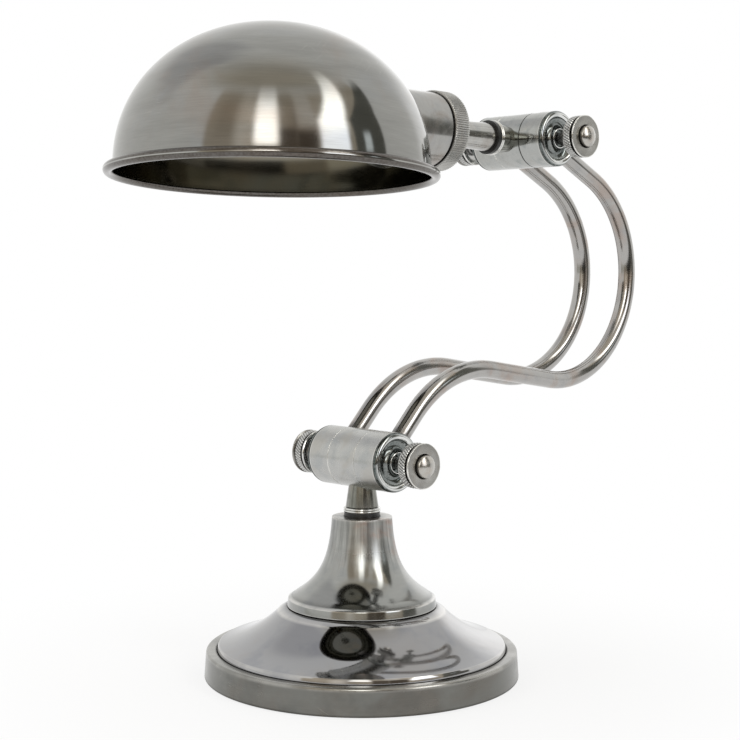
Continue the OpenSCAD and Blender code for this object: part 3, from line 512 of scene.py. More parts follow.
def lathe_mesh(profile, seg=160, closed=False, radius_at=None):
    """A turned mesh from (r, z, soiling and painted light) points. closed joins the last ring to the first.
    """
    bm = bmesh.new()
    layer = bm.verts.layers.float.new("grime_and_painted_light")
    rings = []
    for radius, z, d in profile:
        if radius < 1e-6:
            v = bm.verts.new((0, 0, z * MM))
            v[layer] = d
            rings.append([v])
            continue
        ring = []
        for k in range(seg):
            a = 2 * math.pi * k / seg
            rr = radius if radius_at is None else radius_at(radius, z, a)
            v = bm.verts.new((rr * math.cos(a) * MM, rr * math.sin(a) * MM, z * MM))
            v[layer] = d
            ring.append(v)
        rings.append(ring)
    pairs = list(zip(rings, rings[1:])) + ([(rings[-1], rings[0])] if closed else [])
    for a, b in pairs:
        for k in range(seg):
            j = (k + 1) % seg
            if len(a) == 1 and len(b) == 1:
                break
            if len(a) == 1:
                bm.faces.new((a[0], b[k], b[j]))
            elif len(b) == 1:
                bm.faces.new((a[k], b[0], a[j]))
            else:
                bm.faces.new((a[k], b[k], b[j], a[j]))
    return bm


def lathe(name, profile, matrix, material, body, nodes, seg=160, closed=False, sharp=32):
    """Turns a profile whose points are (r, z[, rounding[, soiling and painted light]]) in millimetres."""
    bm = lathe_mesh(round_path(profile), seg, closed)
    return finish_mesh(bm, name, matrix, material, body, nodes, sharp)


def cut_away(obj, cutter_bm, matrix):
    """Cuts a closed cutter out of obj's mesh for good."""
    me = bpy.data.meshes.new("cutter")
    cutter_bm.to_mesh(me)
    cutter_bm.free()
    c = bpy.data.objects.new("cutter", me)
    scene.collection.objects.link(c)
    c.matrix_world = matrix
    bpy.context.view_layer.update()
    mod = obj.modifiers.new("cut", "BOOLEAN")
    mod.object, mod.operation, mod.solver = c, "DIFFERENCE", "EXACT"
    dg = bpy.context.evaluated_depsgraph_get()
    new = bpy.data.meshes.new_from_object(obj.evaluated_get(dg), preserve_all_data_layers=True, depsgraph=dg)
    obj.modifiers.clear()
    old = obj.data
    obj.data = new
    bpy.data.meshes.remove(old)
    bpy.data.objects.remove(c)
    for p in new.polygons:
        p.use_smooth = True
    new.set_sharp_from_angle(angle=rad(32))


# ---------------------------------------------------------------- foot
ledge_r = COVER_R - LEDGE_W
seat_r = COVER_R + COVER_GAP
ring_out = seat_r + FOOT_WALL
top_r = FOOT_R - FOOT_LEAN
# the ring is painted dark, soiling and shade, at its bottom edge and in the cover's seat; its top edge
# bright, wear and a painted highlight
foot = lathe("foot_ring_turned", [
    (ring_out, FOOT_LIFT), (FOOT_R, FOOT_LIFT, 0.5, 0.6), (FOOT_R - 0.1, 2.2, 0, 0.0),
    (top_r + 0.2, FOOT_H - 2.8, 0, 0.0), (top_r, FOOT_H, FOOT_ROUND, -0.7), (COVER_R + 1.6, FOOT_H, 0, -0.55),
    (seat_r, FOOT_H, 0.25, 0.9), (seat_r, SEAT_Z, 0, 1.0), (ledge_r, SEAT_Z, 0, 1.0),
    (ledge_r, LEDGE_Z), (ring_out, LEDGE_Z)],
    AT_BASE, FOOT_METAL, "base", ("foot_ring",), seg=256, closed=True)
cord_hole = lathe_mesh([(0, 0, 0), (CORD_R, 0, 0), (CORD_R, CORD_RIM_FROM, 0), (CORD_RIM_R, CORD_RIM_FROM, 0),
                        (CORD_RIM_R, CORD_TO, 0), (0, CORD_TO, 0)], 48)
bmesh.ops.recalc_face_normals(cord_hole, faces=cord_hole.faces)
cut_away(foot, cord_hole, at(ledge_r, 0, CORD_Z) @ rot(90, "Y"))

# the cover's slope is a shallow arch from its lip to its shoulder, both worn bright and painted with
# highlights;
# the cover is painted dark, soiling and shade, in the foot ring's seat and at the band's foot
SLOPE_STEPS = 48
lip, shoulder = Vector((COVER_R, LIP_Z)), Vector((EDGE_R, EDGE_Z))
chord = shoulder - lip
outward = Vector((-chord.y, chord.x)).normalized()
slope = []
for i in range(1, SLOPE_STEPS + 1):
    t = i / SLOPE_STEPS
    q = lip + chord * t + outward * 4 * COVER_SAG * t * (1 - t)
    at_top = i == SLOPE_STEPS
    slope.append((q.x, q.y, 0.35 if at_top else 0.0,
                  -0.9 if at_top else -0.5 if i in (1, SLOPE_STEPS - 1) else 0.0))
lathe("base_cover_spun", [
    (COVER_R - SHEET_T, SEAT_Z + 0.5), (COVER_R, SEAT_Z, 0, 1.0), (COVER_R, FOOT_H + 0.1, 0, 0.9),
    (COVER_R, FOOT_H + 0.5, 0, -0.2), (COVER_R - 0.5, LIP_Z - 0.45, 0.5, -0.6), *slope,
    (BAND_R + 3.0, SHELF_Z - 0.9, 0, -0.2), (BAND_R + 0.9, SHELF_Z - 0.1, 0, 0.5), (BAND_R, SHELF_Z, 0, 1.0),
    (COVER_HOLE_R, SHELF_Z, 0, 1.0), (COVER_HOLE_R, SHELF_Z - SHEET_T)],
    AT_BASE, COVER_METAL, "base", ("base_cover",), seg=256)

FLARE_STEPS = 64
flare_end = math.exp(-FLARE_H / FLARE_LEN)
band_top_r = BAND_R - BAND_LEAN
groove_z = SHELF_Z + BAND_GROOVE


def flare(z):
    """The trumpet neck's radius at a height above its band."""
    return NECK_TOP_R + (band_top_r - NECK_TOP_R) * (math.exp(-z / FLARE_LEN) - flare_end) / (1 - flare_end)


# the band's groove and the bush's seat are painted dark, soiling and shade, and the band's top and the neck's
# top edge bright, wear and painted highlights
neck = [(NECK_IN_R, SHELF_Z, 0, 1.0), (band_top_r - 0.3, SHELF_Z, 0, 1.0),
        (band_top_r - 0.3, groove_z, 0, 1.0), (BAND_R, groove_z, 0.25, -0.6),
        (BAND_R - 0.12, groove_z + 0.8, 0, 0.1), (band_top_r + 0.55, BAND_TOP_Z - 1.5, 0, 0.0),
        (band_top_r + 0.4, BAND_TOP_Z - 0.75, 0.3, -0.9), (band_top_r - 0.35, BAND_TOP_Z - 0.3, 0.25, -0.8),
        (flare(0.9) - 0.25, BAND_TOP_Z + 0.5, 0.3, 0.35)]
neck += [(flare(FLARE_H * i / FLARE_STEPS), BAND_TOP_Z + FLARE_H * i / FLARE_STEPS, 0, 0)
         for i in range(3, FLARE_STEPS - 1)]
neck += [(flare(FLARE_H * 0.99), BAND_TOP_Z + FLARE_H * 0.985, 0, -0.5), (NECK_TOP_R, NECK_Z, 0.9, -0.9),
         (BUSH_R + 3, NECK_Z, 0, -0.3), (BUSH_R + 0.8, NECK_Z, 0, 0.1), (BUSH_R, NECK_Z, 0, 0.9),
         (SPIGOT_R, NECK_Z, 0, 1.0), (SPIGOT_R, NECK_Z - 3)]
lathe("base_neck_spun", neck, AT_BASE, NECK_METAL, "base", ("base_neck",), seg=224)


# ---------------------------------------------------------------- swivels
def swivel(prefix, post_matrix):
    """The bright bead ring under a post: two ridges with a groove between them painted dark, soiling and
    painted shade.
    """
    half = (BEAD_H + BEAD_OVER) / 4
    core = BEAD_R - half
    first, second = (arc(core, BEAD_D + half * k, half, -90, 90, 10) for k in (1, 3))
    lathe(f"{prefix}_bead", [
        (SPIGOT_R, BEAD_D), (core - 0.2, BEAD_D, 0, 0.3), *first, (core - 0.25, BEAD_D + 2 * half, 0, 1.0),
        *second, (SPIGOT_R, BEAD_D + 4 * half)],
        post_matrix @ DOWN, BEAD_METAL, f"{prefix}_post", (f"{prefix}_bead_ring",), seg=96)


swivel("lower", AT_LOWER)
swivel("upper", AT_UPPER_POST)


# ---------------------------------------------------------------- clamp hinges
def cup(prefix, word, along):
    """An end cup: rolled lip, turned hollow and boss with its recess."""
    n_lip, n_bowl = 26, 30
    # the lip is painted dark, shade, on its side next to the drum and bright, a painted highlight, over its
    # crest; the hollow is painted dark green towards its middle, a painted reflection; the boss's rim is
    # painted bright and its recess dark as shade
    lip_line = with_grime_and_light(arc(DRUM_R - CUP_LIP, CUP_Y, CUP_LIP, 0, 148, n_lip),
                   lambda i: min(1.0, 1.8 - i / 7.5) if i < n_lip / 2 else -0.6)
    bowl = with_grime_and_light(arc(HOLLOW_R, CREST_Y, HOLLOW, -12, -178, n_bowl),
                   lambda i: 0.85 * math.sin(math.pi * i / n_bowl) ** 0.5)
    boss_out, floor_y = BOSS_IN_R + BOSS_WALL, BOSS_Y - BOSS_RECESS
    lathe(f"{prefix}_{word}_cup", [
        (DRUM_R - 1.5, CUP_Y + 0.02, 0, 1.0), *lip_line, *bowl, (boss_out, BOSS_Y - 0.2, 0.3, -0.8),
        (boss_out - 0.3, BOSS_Y, 0.2, -0.9), (BOSS_IN_R + 0.12, BOSS_Y, 0.15, 0.1),
        (BOSS_IN_R, BOSS_Y - 0.25, 0, 1.0), (BOSS_IN_R, floor_y, 0, 1.0), (ROD_R, floor_y, 0, 1.0)],
        along, CUP_METAL, "arms", (f"{prefix}_cup_{word}",), sharp=40)


def knurled_band(name, matrix, body, start):
    """Two crossing families of grooves round a nut, one of them deeper. start is their gap at the back."""
    bm = bmesh.new()
    layer = bm.verts.layers.float.new("grime_and_painted_light")
    diamonds, per, rows, trim = 46, 8, 28, 0.5
    seg, rings = diamonds * per, []
    pitch = 2 * math.pi * NUT_R / diamonds
    for j in range(rows + 1):
        w = start + (KNURL_W - trim) * j / rows
        edge = min(1.0, min(j, rows - j) / 2)
        ring = []
        for k in range(seg):
            one = (k / per + w / pitch * 0.62) % 1.0
            other = (k / per - w / pitch * 0.62) % 1.0
            deep = max(abs(one - 0.5) * 1.5, abs(other - 0.5) * 2)
            cut = max(0.0, deep - 0.15) / 0.85
            rr = NUT_R - 0.04 - 0.5 * cut - (1 - edge) * 0.3
            ang = 2 * math.pi * k / seg
            v = bm.verts.new((rr * math.cos(ang) * MM, rr * math.sin(ang) * MM, (BAND_Y + w) * MM))
            # the deep cuts and the band's two ends are painted darker, soiling and painted shade
            v[layer] = min(1.0, max(0.0, cut - 0.45) * 2.4 + (1 - edge) * 0.2)
            ring.append(v)
        rings.append(ring)
    for a, b in zip(rings, rings[1:]):
        for k in range(seg):
            j = (k + 1) % seg
            bm.faces.new((a[k], b[k], b[j], a[j]))
    finish_mesh(bm, name + "_knurl", matrix, KNURL_METAL, body, (body,), sharp=24)


def thumb_nut(name, matrix, body, near):
    """
    A thumb nut: a dished back on a hub, a knurled band and a face with the rod end's recess.
    A near nut has no flange behind its knurl and a groove behind its face painted dark as shade, with a
    painted highlight on its face's rim; a far nut has the flange, and its groove and rim are only a little
    darker.
    """
    back_y = BAND_Y - 0.6 if near else NUT_Y
    groove_r, dish_in, dish_out = NUT_R - GROOVE_D, HUB_R + 0.4, NUT_R - 1.3
    dish = [(dish_in + (dish_out - dish_in) * t, back_y + 2.6 * (1 - t) ** 1.6 - 0.25 * math.sin(math.pi * t))
            for t in (i / 12 for i in range(13))]
    # the hub's foot and the back's grooves are painted dark, soiling and shade, and the back's rim bright,
    # wear and a painted highlight
    back = [(ROD_R, HUB_Y, 0, 1.0), (HUB_R - 0.3, HUB_Y, 0, 1.0), (HUB_R, HUB_Y + 0.3, 0.2, 0.5),
            (HUB_R, back_y + 2.0, 0, 0.35), *dish]
    if near:
        back += [(NUT_R - 0.6, back_y, 0.1, -0.2), (NUT_R - 0.3, back_y + 0.3, 0.1, -0.4),
                 (NUT_R - 0.35, BAND_Y, 0, 0.4), (NUT_R - 0.6, BAND_Y + 0.2, 0, 0.4)]
    else:
        groove_y = NUT_Y + DISC_T
        back += [(NUT_R - 0.4, NUT_Y, 0.15, -0.5), (NUT_R, NUT_Y + 0.4, 0.15, -0.8),
                 (NUT_R, groove_y - 0.5, 0, -0.3), (NUT_R - 0.25, groove_y - 0.15, 0, 1.0),
                 (groove_r, groove_y, 0, 1.0), (groove_r, BAND_Y, 0, 1.0), (NUT_R - 0.55, BAND_Y, 0, 1.0)]
    lathe(name + "_back", back, matrix, NUT_BACK_METAL, body, (body,), seg=128)
    disc_y, mouth = FACE_Y - DISC_T, BUTTON_R + BUTTON_GAP - 0.3
    # a near nut's groove is painted dark as shade and its face's rim bright as a painted highlight; the rod
    # end's recess is painted dark as shade
    groove_grime_and_shade, rim = (1.0, -1.0) if near else (0.25, 0.1)
    lathe(name + "_face", [
        (NUT_R - 0.55, disc_y - GROOVE_W, 0, groove_grime_and_shade), (groove_r, disc_y - GROOVE_W, 0, groove_grime_and_shade),
        (groove_r, disc_y, 0, groove_grime_and_shade), (NUT_R - 0.3, disc_y + 0.55, 0, groove_grime_and_shade),
        (NUT_R, disc_y + 0.75, 0.08, -0.2), (NUT_R, FACE_Y, 0.35, rim), (NUT_R - 0.8, FACE_Y, 0, 0.0),
        (mouth + 0.5, FACE_Y, 0, -0.2), (mouth, FACE_Y, 0.2, 0.4), (mouth, FACE_Y - 0.6, 0, 1.0),
        (mouth, FACE_Y - RECESS, 0, 1.0), (ROD_R, FACE_Y - RECESS, 0, 1.0)],
        matrix, NUT_METAL, body, (body,), seg=128)
    knurled_band(name, matrix, body, 0.0 if near else 0.5)


def button(name, matrix, body, node):
    """The domed end of the clamp rod in a nut's face."""
    ball = (BUTTON_R ** 2 + BUTTON_DOME ** 2) / 2 / BUTTON_DOME
    base_y, top = FACE_Y - RECESS + 2, FACE_Y + PROUD
    edge, steps = math.degrees(math.asin(BUTTON_R / ball)), 14
    turns = [rad(edge * (1 - i / steps)) for i in range(1, steps)]
    dome = [(ball * math.sin(a), top + BUTTON_DOME - ball + ball * math.cos(a)) for a in turns]
    # the rod end is painted dark as shade inside the nut's recess, and lighter towards its dome
    lathe(name, [
        (ROD_R, base_y, 0, 1), (BUTTON_R - 0.1, base_y, 0, 1), (BUTTON_R - 0.03, FACE_Y + 0.2, 0, 1),
        (BUTTON_R, top - 1.0, 0, 0.6), (BUTTON_R, top - 0.1, 0.5, 0.1), *dome, (0.0, top + BUTTON_DOME)],
        matrix, BUTTON_METAL, body, (node,), seg=96, sharp=50)


def hinge(prefix, matrix, post_matrix):
    """A clamp hinge: the post with its centre drum, and on each side a drum, a cup, a nut and a rod end."""
    post_body, knuckle, half = f"{prefix}_post", (f"{prefix}_centre_knuckle",), CENTRE_W / 2
    # the near seam is painted bright on the lower hinge, a painted highlight, and dark on the upper, painted
    # shade
    skin, near_seam = (DRUM_METAL, -0.4) if prefix == "lower" else (UPPER_DRUM_METAL, 1.0)
    lathe(f"{prefix}_centre_drum", [
        (ROD_R, -half, 0, 1.0), (DRUM_R - 0.5, -half, 0, 1.0), (DRUM_R, -half, 0.3, near_seam),
        (DRUM_R, -half + 0.5, 0, 0.0), (DRUM_R, half - 0.5, 0, 0.0), (DRUM_R, half, 0.3, -1.0),
        (DRUM_R - 0.5, half, 0, 1.0), (ROD_R, half, 0, 1.0)],
        matrix @ ALONG_Y[1], skin, post_body, knuckle)
    post_end = BEAD_D - 0.4
    lathe(f"{prefix}_post", [
        (POST_TOP_R - 0.2, 12.0), (POST_TOP_R, CLIP_FLOOR), (POST_TOP_R + 0.1, 17.2, 0, 0.15),
        (POST_FOOT_R, post_end, 0.15, 0.2), (POST_FOOT_R - 0.8, post_end, 0, 1.0),
        (POST_FOOT_R - 0.8, BEAD_D, 0, 1.0)],
        post_matrix @ DOWN, POST_METAL, post_body, knuckle, seg=96)
    for side, word in ((-1, "near"), (1, "far")):
        near = side == -1
        along = matrix @ ALONG_Y[side]
        # each drum is painted dark, soiling and shade, where it meets its cup's lip, with a bright line
        # before it, wear and a painted highlight
        lathe(f"{prefix}_{word}_drum", [
            (ROD_R + 1, OUTER_Y, 0, 1.0), (DRUM_R - 0.5, OUTER_Y, 0, 1.0),
            (DRUM_R, OUTER_Y, 0.3, near_seam if near else -0.7), (DRUM_R, OUTER_Y + 0.5, 0, 0.0),
            (DRUM_R, CUP_Y - 1.6, 0, 0.0), (DRUM_R, CUP_Y - 1.0, 0, -0.6), (DRUM_R, CUP_Y - 0.5, 0.2, 0.8),
            (DRUM_R - 0.5, CUP_Y, 0.2, 1.0), (DRUM_R - 1.5, CUP_Y, 0, 1.0)],
            along, skin, "arms", (f"{prefix}_knuckle_{word}",))
        cup(prefix, word, along)
        if prefix == "lower" and not near:
            along = along @ at(0, 0, -FAR_IN)
        thumb_nut(f"{prefix}_{word}_nut", along, f"{prefix}_nut_{word}", near)
        button(f"{prefix}_{word}_button", along, post_body, f"{prefix}_rod_buttons")


hinge("lower", AT_LOWER, AT_LOWER)
hinge("upper", AT_UPPER, AT_UPPER_POST)


# ---------------------------------------------------------------- arms
def arm(side, word):
    """A bent tube, with a map along its path for the brushing, and soiling and painted shade where it enters
    the drums.
    """
    bm = bmesh.new()
    layer = bm.verts.layers.float.new("grime_and_painted_light")
    uv = bm.loops.layers.uv.new("path")
    seg, rings, length, last = 48, [], 0.0, None
    for p, a in ARM_POINTS:
        if last is not None:
            length += (p - last).length
        last = p
        nrm = heading(a + 90)
        near_end = min((p - Vector((0, LOWER_Z))).length, (p - UPPER).length)
        grime_and_shade = max(0.0, min(1.0, (21.5 - near_end) / 2.5))
        ring = []
        for k in range(seg):
            t = 2 * math.pi * k / seg
            q = p + nrm * (TUBE_R * math.cos(t))
            v = bm.verts.new((q.x * MM, (side * ARM_Y + TUBE_R * math.sin(t)) * MM, q.y * MM))
            v[layer] = grime_and_shade * 0.8
            ring.append(v)
        rings.append((ring, length))
    for (a, la), (b, lb) in zip(rings, rings[1:]):
        for k in range(seg):
            j = (k + 1) % seg
            face = bm.faces.new((a[k], b[k], b[j], a[j]))
            corners = ((k / seg, la), (k / seg, lb), ((k + 1) / seg, lb), ((k + 1) / seg, la))
            for loop, (uu, vv) in zip(face.loops, corners):
                loop[uv].uv = (uu, vv * MM)
    for end in (rings[0], rings[-1]):
        bm.faces.new(end[0])
    finish_mesh(bm, f"arm_{word}_tube", Matrix.Identity(4), ARM_METAL, "arms", (f"arm_{word}",),
                sharp=50)


arm(-1, "near")
arm(1, "far")

# ---------------------------------------------------------------- head
taper_r, taper_h = STEM_TOP_R - STEM_FOOT_R, CAP_BACK - BUSH_END - 1.5
taper = [(STEM_FOOT_R + taper_r * i / 8, BUSH_END + 0.5 + taper_h * i / 8) for i in range(1, 9)]
# the stem is painted dark as shade at its foot by the bush and at its top under the cap
lathe("head_stem_turned", [
    (SPIGOT_R, BUSH_END), (STEM_FOOT_R - 0.1, BUSH_END, 0, 0.6), (STEM_FOOT_R, BUSH_END + 0.3, 0, 0.2),
    *taper, (STEM_TOP_R, CAP_BACK + 0.5, 0, 0.9)],
    AT_STEM, STEM_METAL, "head", ("head_stem",), seg=96)


def ridged(radius, z, a):
    """The cap's radius, with its ridges cut along its side."""
    if CAP_BACK + CAP_ROUND * 0.55 < z < CAP_BACK + CAP_L - 0.7 and radius > CAP_R - 1.2:
        s = (a / (2 * math.pi) * CAP_RIDGES) % 1.0
        return radius - RIDGE_D * min(1.0, abs(s - 0.5) * 2.6)
    return radius


side_z = CAP_BACK + CAP_ROUND * 0.6
shoulder_r = CAP_R - 0.6 - CAP_ROUND
# the cap is painted dark, soiling and painted shade, round the stem at its back, at its front edge by the
# sleeve's gap and, further down, between its ridges
cap = [(STEM_TOP_R - 1, CAP_BACK, 0, 0.9), (STEM_TOP_R + 0.6, CAP_BACK, 0, 0.5), (shoulder_r, CAP_BACK, 0, 0)]
cap += arc(shoulder_r, CAP_BACK + CAP_ROUND, CAP_ROUND, -84, -28, 8)
cap += [(CAP_R, side_z + (CAP_L - 0.8 - CAP_ROUND * 0.6) * i / 6) for i in range(7)]
cap += [(CAP_R - 0.6, CAP_BACK + CAP_L - 0.3, 0, 0.3), (CAP_R - 1.1, CAP_BACK + CAP_L, 0, 0.8),
        (CAP_IN_R, CAP_BACK + CAP_L, 0, 1.0)]
bm = lathe_mesh(round_path(cap), CAP_RIDGES * 8, False, ridged)
layer = bm.verts.layers.float["grime_and_painted_light"]
for v in bm.verts:
    if CAP_BACK + CAP_ROUND < v.co.z / MM < CAP_BACK + CAP_L - 0.6:
        depth = CAP_R - math.hypot(v.co.x, v.co.y) / MM
        v[layer] = max(v[layer], min(1.0, depth / RIDGE_D) ** 2 * 0.5)
finish_mesh(bm, "knurled_cap_turned", AT_STEM, CAP_METAL, "head", ("knurled_cap",), sharp=26)

# the shade's neck ends on the dome, so each line along it is run to where it meets the sheet
STEM_TO_SHADE = AT_SHADE.inverted() @ AT_STEM


def to_dome(radius, angle, inset):
    """How far along the stem a line at this radius and angle meets the dome's sheet."""
    lo, hi = SLEEVE_D, REACH
    for _ in range(40):
        mid = (lo + hi) / 2
        x, y = radius * math.cos(angle), radius * math.sin(angle)
        q = STEM_TO_SHADE @ Vector((x * MM, y * MM, mid * MM)) / MM
        rr, zz = math.hypot(q.x, q.y) / (DOME_R - inset), max(0.0, q.z - SKIRT) / (DOME_H - SKIRT - inset)
        if rr ** POWER + zz ** POWER > 1:
            lo = mid
        else:
            hi = mid
    return lo


bm = bmesh.new()
layer = bm.verts.layers.float.new("grime_and_painted_light")
seg, rings = 192, []
inner, flange_r, flange_under = SLEEVE_R - SLEEVE_WALL, SLEEVE_R + FLANGE_W, SHADE_T + 1.2
for k in range(seg):
    a = 2 * math.pi * k / seg
    wall, under = to_dome(SLEEVE_R, a, 0.3), to_dome(inner, a, flange_under)
    rim_in, rim_out = to_dome(flange_r, a, flange_under), to_dome(flange_r, a, SHADE_T - 0.1)
    # the sleeve is painted dark, soiling and painted shade, inside, at its gap by the cap, where it meets the
    # dome and round its flange
    line = [(CAP_IN_R - 0.1, CAP_BACK + 6, 1.0), (CAP_IN_R - 0.1, SLEEVE_D, 1.0),
            (SLEEVE_R - 0.4, SLEEVE_D, 0.8), (SLEEVE_R, SLEEVE_D + 0.4, 0.1), (SLEEVE_R, SLEEVE_D + 1.5, 0.0)]
    line += [(SLEEVE_R, SLEEVE_D + 1.5 + (wall - 1.2 - SLEEVE_D - 1.5) * i / 12, 0.0) for i in range(1, 13)]
    line += [(SLEEVE_R, wall, 0.8), (flange_r, rim_out, 0.9), (flange_r, rim_in, 0.1),
             (SLEEVE_R, to_dome(SLEEVE_R, a, flange_under), 0.0), (inner, under, 0.2),
             (inner, SLEEVE_D + 3, 0.6), (inner, CAP_BACK + 6, 1.0)]
    ring = []
    for radius, z, d in line:
        v = bm.verts.new((radius * math.cos(a) * MM, radius * math.sin(a) * MM, z * MM))
        v[layer] = d
        ring.append(v)
    rings.append(ring)
for k in range(seg):
    a, b = rings[k], rings[(k + 1) % seg]
    for i in range(len(a)):
        j = (i + 1) % len(a)
        bm.faces.new((a[i], b[i], b[j], a[j]))
finish_mesh(bm, "shade_neck_fitted", AT_STEM, SLEEVE_METAL, "head", ("shade_neck",), sharp=30)


# dome: outer sheet, rolled rim and inner sheet
def dome_line(radius, h, n=96):
    """The dome's clean profile: a quarter of a slightly squared ellipse on its short straight skirt."""
    out = []
    for i in range(n + 1):
        a = rad(90 * i / n)
        x = 0.0 if i == n else radius * math.cos(a) ** (2 / POWER)
        out.append((x, SKIRT + h * math.sin(a) ** (2 / POWER), 0.0))
    return out


def bead_grime_shade_highlight(i):
    """The rim bead is painted dark brown, soiling and painted shade, with a thin painted highlight at its
    lower edge.
    """
    for end, grime_and_painted_light in ((2, 0.9), (8, 0.72), (10, 0.45), (19, 0.8), (21, -0.45)):
        if i < end:
            return grime_and_painted_light
    return 0.8


bead_c = RIM_R - RIM_BEAD
join = math.degrees(math.acos(max(-1, min(1, (DOME_R - bead_c) / RIM_BEAD)))) - 8
bead = with_grime_and_light(arc(bead_c, 0, RIM_BEAD, join, join - 322, 44)[:-1], bead_grime_shade_highlight)
# the crease above the bead and the lining's lower edge are painted dark, soiling and painted shade
outer = dome_line(DOME_R, DOME_H - SKIRT)[::-1] + [(DOME_R, 2.2, 0.55)] + [(p[0], p[1], p[3]) for p in bead]
inner_line = [(DOME_R - SHADE_T, 0.2, 0.3)] + dome_line(DOME_R - SHADE_T, DOME_H - SKIRT - SHADE_T)
shell = finish_mesh(lathe_mesh(outer, 288), "shade_dome_spun", AT_SHADE, SHADE_METAL, "head",
                    ("shade_dome",), sharp=30)
lining = finish_mesh(lathe_mesh(inner_line, 288), "shade_dome_inside", AT_SHADE, INSIDE_METAL, "head",
                     ("shade_dome",), sharp=30, closed=False)
# what lies inside the neck is dropped, and the edge that is left is drawn in to just within its wall
to_stem = AT_STEM.inverted() @ AT_SHADE
to_shade = to_stem.inverted()
drop_r, edge_r, reach_r, neck_end = SLEEVE_R - 1.4, SLEEVE_R - 0.9, SLEEVE_R + 3, REACH - 20
for piece in (shell, lining):
    bm = bmesh.new()
    bm.from_mesh(piece.data)
    doomed = []
    for v in bm.verts:
        q = to_stem @ v.co / MM
        if SLEEVE_D < q.z < neck_end and math.hypot(q.x, q.y) < drop_r:
            doomed.append(v)
    bmesh.ops.delete(bm, geom=doomed, context="VERTS")
    for e in bm.edges:
        if e.is_boundary:
            for v in e.verts:
                q = to_stem @ v.co / MM
                rr = math.hypot(q.x, q.y)
                if SLEEVE_D < q.z < neck_end and edge_r < rr < reach_r:
                    v.co = to_shade @ (Vector((q.x * edge_r / rr, q.y * edge_r / rr, q.z)) * MM)
    bm.to_mesh(piece.data)
    bm.free()

# ---------------------------------------------------------------- finishes on the CAD nodes that stay
for material, names in (
    (IRON, ("base_weight",)),
    (FELT, ("felt_pad",)),
    (BLACK, ("cord_bush", "base_spindle", "head_spindle")),
    (BAKELITE, ("holder_cap", "holder_body")),
    (BRASS, ("base_nipple", "base_nut", "head_nipple", "holder_shell", "holder_contact")),
    (ROD_METAL, ("base_washer", "base_spindle_clip", "base_friction_washer", "lower_clamp_rod",
                 "upper_clamp_rod", "head_spindle_clip", "head_friction_washer")),
):
    for name in names:
        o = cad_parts[name]
        if not o.material_slots:
            o.data.materials.append(material)
        for slot in o.material_slots:
            slot.material = material

# ---------------------------------------------------------------- floor and light
me = bpy.data.meshes.new("floor")
me.from_pydata([(-30, -30, 0), (30, -30, 0), (30, 30, 0), (-30, 30, 0)], [], [(0, 1, 2, 3)])
floor = bpy.data.objects.new("floor", me)
scene.collection.objects.link(floor)
m = bpy.data.materials.new("floor")
m.use_nodes = True
n = Nodes(m.node_tree)
out = n.add("ShaderNodeOutputMaterial")
diffuse = n.add("ShaderNodeBsdfDiffuse")
diffuse.inputs[0].default_value = (0.9, 0.9, 0.9, 1)
white = n.add("ShaderNodeEmission")
white.inputs[1].default_value = 1.0
spot = n.add("ShaderNodeNewGeometry").outputs["Position"]
dist = n.vmath("LENGTH", spot)
bearing = n.times(n.math("ARCTAN2", n.vmath("DOT_PRODUCT", spot, tuple(across)),
                                   n.vmath("DOT_PRODUCT", spot, tuple(-toward))), 180 / math.pi)
# round the front, from right to left, the metal sees the dim floor of the room
room = (0.17, 0.165, 0.15)
for turn, colour in ((57, (0.035, 0.033, 0.028)), (-7, (0.30, 0.27, 0.22)), (-41, (0.60, 0.60, 0.55))):
    room = n.mix(n.step(bearing, turn - 2, turn + 2, 1.0, 0.0), room, colour)
in_front = n.times(n.step(bearing, -100, -92), n.step(bearing, 88, 94, 1.0, 0.0))
# near the foot the floor keeps the shadow, and farther out it turns white
far_away = n.step(dist, 0.10, 0.35, 0.80, 1.0)
path = n.add("ShaderNodeLightPath")
seen = n.math("MAXIMUM", path.outputs["Is Camera Ray"], path.outputs["Is Glossy Ray"])
seen = n.math("MAXIMUM", seen, path.outputs["Is Transmission Ray"])
in_front = n.times(n.times(in_front, n.step(dist, 1.3, 1.6)), path.outputs["Is Glossy Ray"])
n.put(n.mix(in_front, (1.0, 1.0, 1.0), room), white.inputs[0])
mixer = n.add("ShaderNodeMixShader")
n.put(n.times(far_away, seen), mixer.inputs[0])
n.t.links.new(diffuse.outputs[0], mixer.inputs[1])
n.t.links.new(white.outputs[0], mixer.inputs[2])
n.t.links.new(mixer.outputs[0], out.inputs[0])
me.materials.append(m)

# The room that the metal shows: a white tent, open in front towards a dim room with two tall windows.
# Angles are measured from the direction in which the tent is open.
world = bpy.data.worlds.new("studio")
scene.world = world
world.use_nodes = True
n = Nodes(world.node_tree)
out = n.add("ShaderNodeOutputWorld")
back = n.add("ShaderNodeBackground")
n.t.links.new(back.outputs[0], out.inputs[0])
way = n.add("ShaderNodeTexCoord").outputs["Generated"]
side = n.vmath("DOT_PRODUCT", way, tuple(across))
front = n.vmath("DOT_PRODUCT", way, tuple(-toward))
sepw = n.add("ShaderNodeSeparateXYZ")
n.put(way, sepw.inputs[0])
az = n.times(n.math("ARCTAN2", side, front), 180 / math.pi)
el = n.times(n.math("ARCSINE", sepw.outputs[2]), 180 / math.pi)


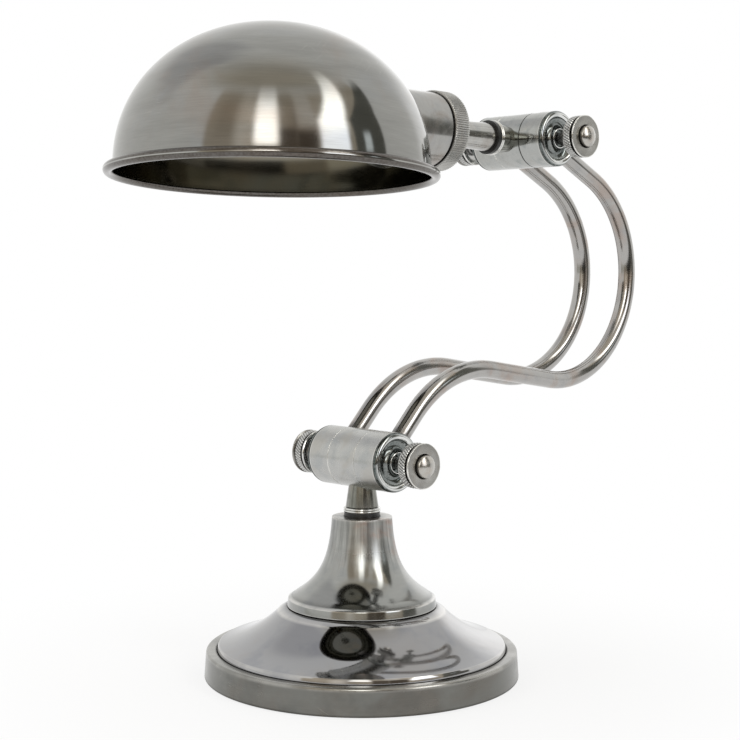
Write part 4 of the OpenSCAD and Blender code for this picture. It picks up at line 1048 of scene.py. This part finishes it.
def patch(a0, a1, e0, e1, soft=2.0, soft_lo=None, soft_hi=None, lean=(0.0, 0.0)):
    """
    A soft-edged area of the room between two turns and two heights in degrees. soft is half the width of its
    sides' edges, soft_lo of its lower edge and soft_hi of its upper edge. lean moves its two sides round with
    height, in degrees per degree above 30.
    """
    lo = soft if soft_lo is None else soft_lo
    hi = lo if soft_hi is None else soft_hi
    above = n.math("MAXIMUM", n.minus(el, 30.0), 0.0)
    a, b = (n.minus(az, n.times(above, k)) if k else az for k in lean)
    inside = n.times(n.step(a, a0 - soft, a0 + soft), n.step(b, a1 - soft, a1 + soft, 1.0, 0.0))
    inside = n.times(inside, n.step(el, e0 - lo, e0 + lo))
    return n.times(inside, n.step(el, e1 - hi, e1 + hi, 1.0, 0.0))


ceiling = n.times(n.step(el, 46, 64), n.step(front, -0.2, 0.35))
light = n.mix(ceiling, (1.0, 1.0, 0.985), (0.62, 0.57, 0.48))
for area, colour in (
    # the tent's bright back and its greyer left
    (patch(136, 178, 2, 26, 6.0, 8.0), (1.3, 1.3, 1.3)),
    (patch(-150, -96, 36, 72, 8.0), (0.76, 0.76, 0.77)),
    # the room's wall, darker and lighter to the left of the first window
    (patch(-47, 89, -12, 53, 2.0, 6.0), (0.62, 0.55, 0.45)),
    (patch(-40, -24, 16, 50, 5.0, 6.0, 12.0), (0.52, 0.45, 0.36)),
    (patch(-24, -12, -12, 46, 5.0, 6.0, 14.0), (1.0, 0.93, 0.82)),
    # the wall between the windows
    (patch(8, 21, -12, 44, 1.5, 6.0, 12.0), (0.17, 0.14, 0.11)),
    (patch(9, 20, 25, 50, 3.0, 4.0, 12.0), (0.52, 0.46, 0.37)),
    (patch(21, 36, -12, 24, 1.5, 5.0), (0.13, 0.105, 0.08)),
    (patch(22, 36, 26, 50, 3.0, 4.0, 14.0), (0.85, 0.82, 0.76)),
    # the dark right side with a small pane
    (patch(65, 91, -12, 50, 1.0, 5.0, lean=(1.3, 0.45)), (0.17, 0.17, 0.15)),
    (patch(73, 79, 9, 20, 1.2, 3.0), (1.2, 1.3, 1.35)),
    # the second window's lower half, the first window and the second window
    (patch(38.5, 60, 7, 30, 2.0, 2.0, 6.0), (2.9, 3.0, 3.2)),
    (patch(-10, 7, 13, 45, 2.5, 2.0, 20.0), (4.4, 4.4, 4.3)),
    (patch(39, 61, 24, 55, 3.5, 7.0, 17.0, lean=(0.7, 0.5)), (4.6, 4.6, 4.5)),
):
    light = n.mix(area, light, colour)
path = n.add("ShaderNodeLightPath")
soft_light = n.mix(path.outputs["Is Diffuse Ray"], light, n.mix(1.0, light, (0.78, 0.78, 0.78), "MULTIPLY"))
n.put(n.mix(path.outputs["Is Camera Ray"], soft_light, (1.0, 1.0, 1.0)), back.inputs[0])
back.inputs[1].default_value = 1.0

# one broad soft lamp from the upper left gives the floor's shadow a direction
lamp_data = bpy.data.lights.new("soft_key", "AREA")
lamp_data.shape, lamp_data.size, lamp_data.size_y, lamp_data.energy = "RECTANGLE", 0.9, 0.9, 6.0
lamp = bpy.data.objects.new("soft_key", lamp_data)
scene.collection.objects.link(lamp)
lamp.visible_glossy = False
lamp.location = Vector((-0.75, 0.35, 1.5))
lamp.rotation_mode = "QUATERNION"
lamp.rotation_quaternion = (Vector((0, 0, 0.2)) - lamp.location).to_track_quat("-Z", "Y")

scene.view_settings.view_transform = "Standard"
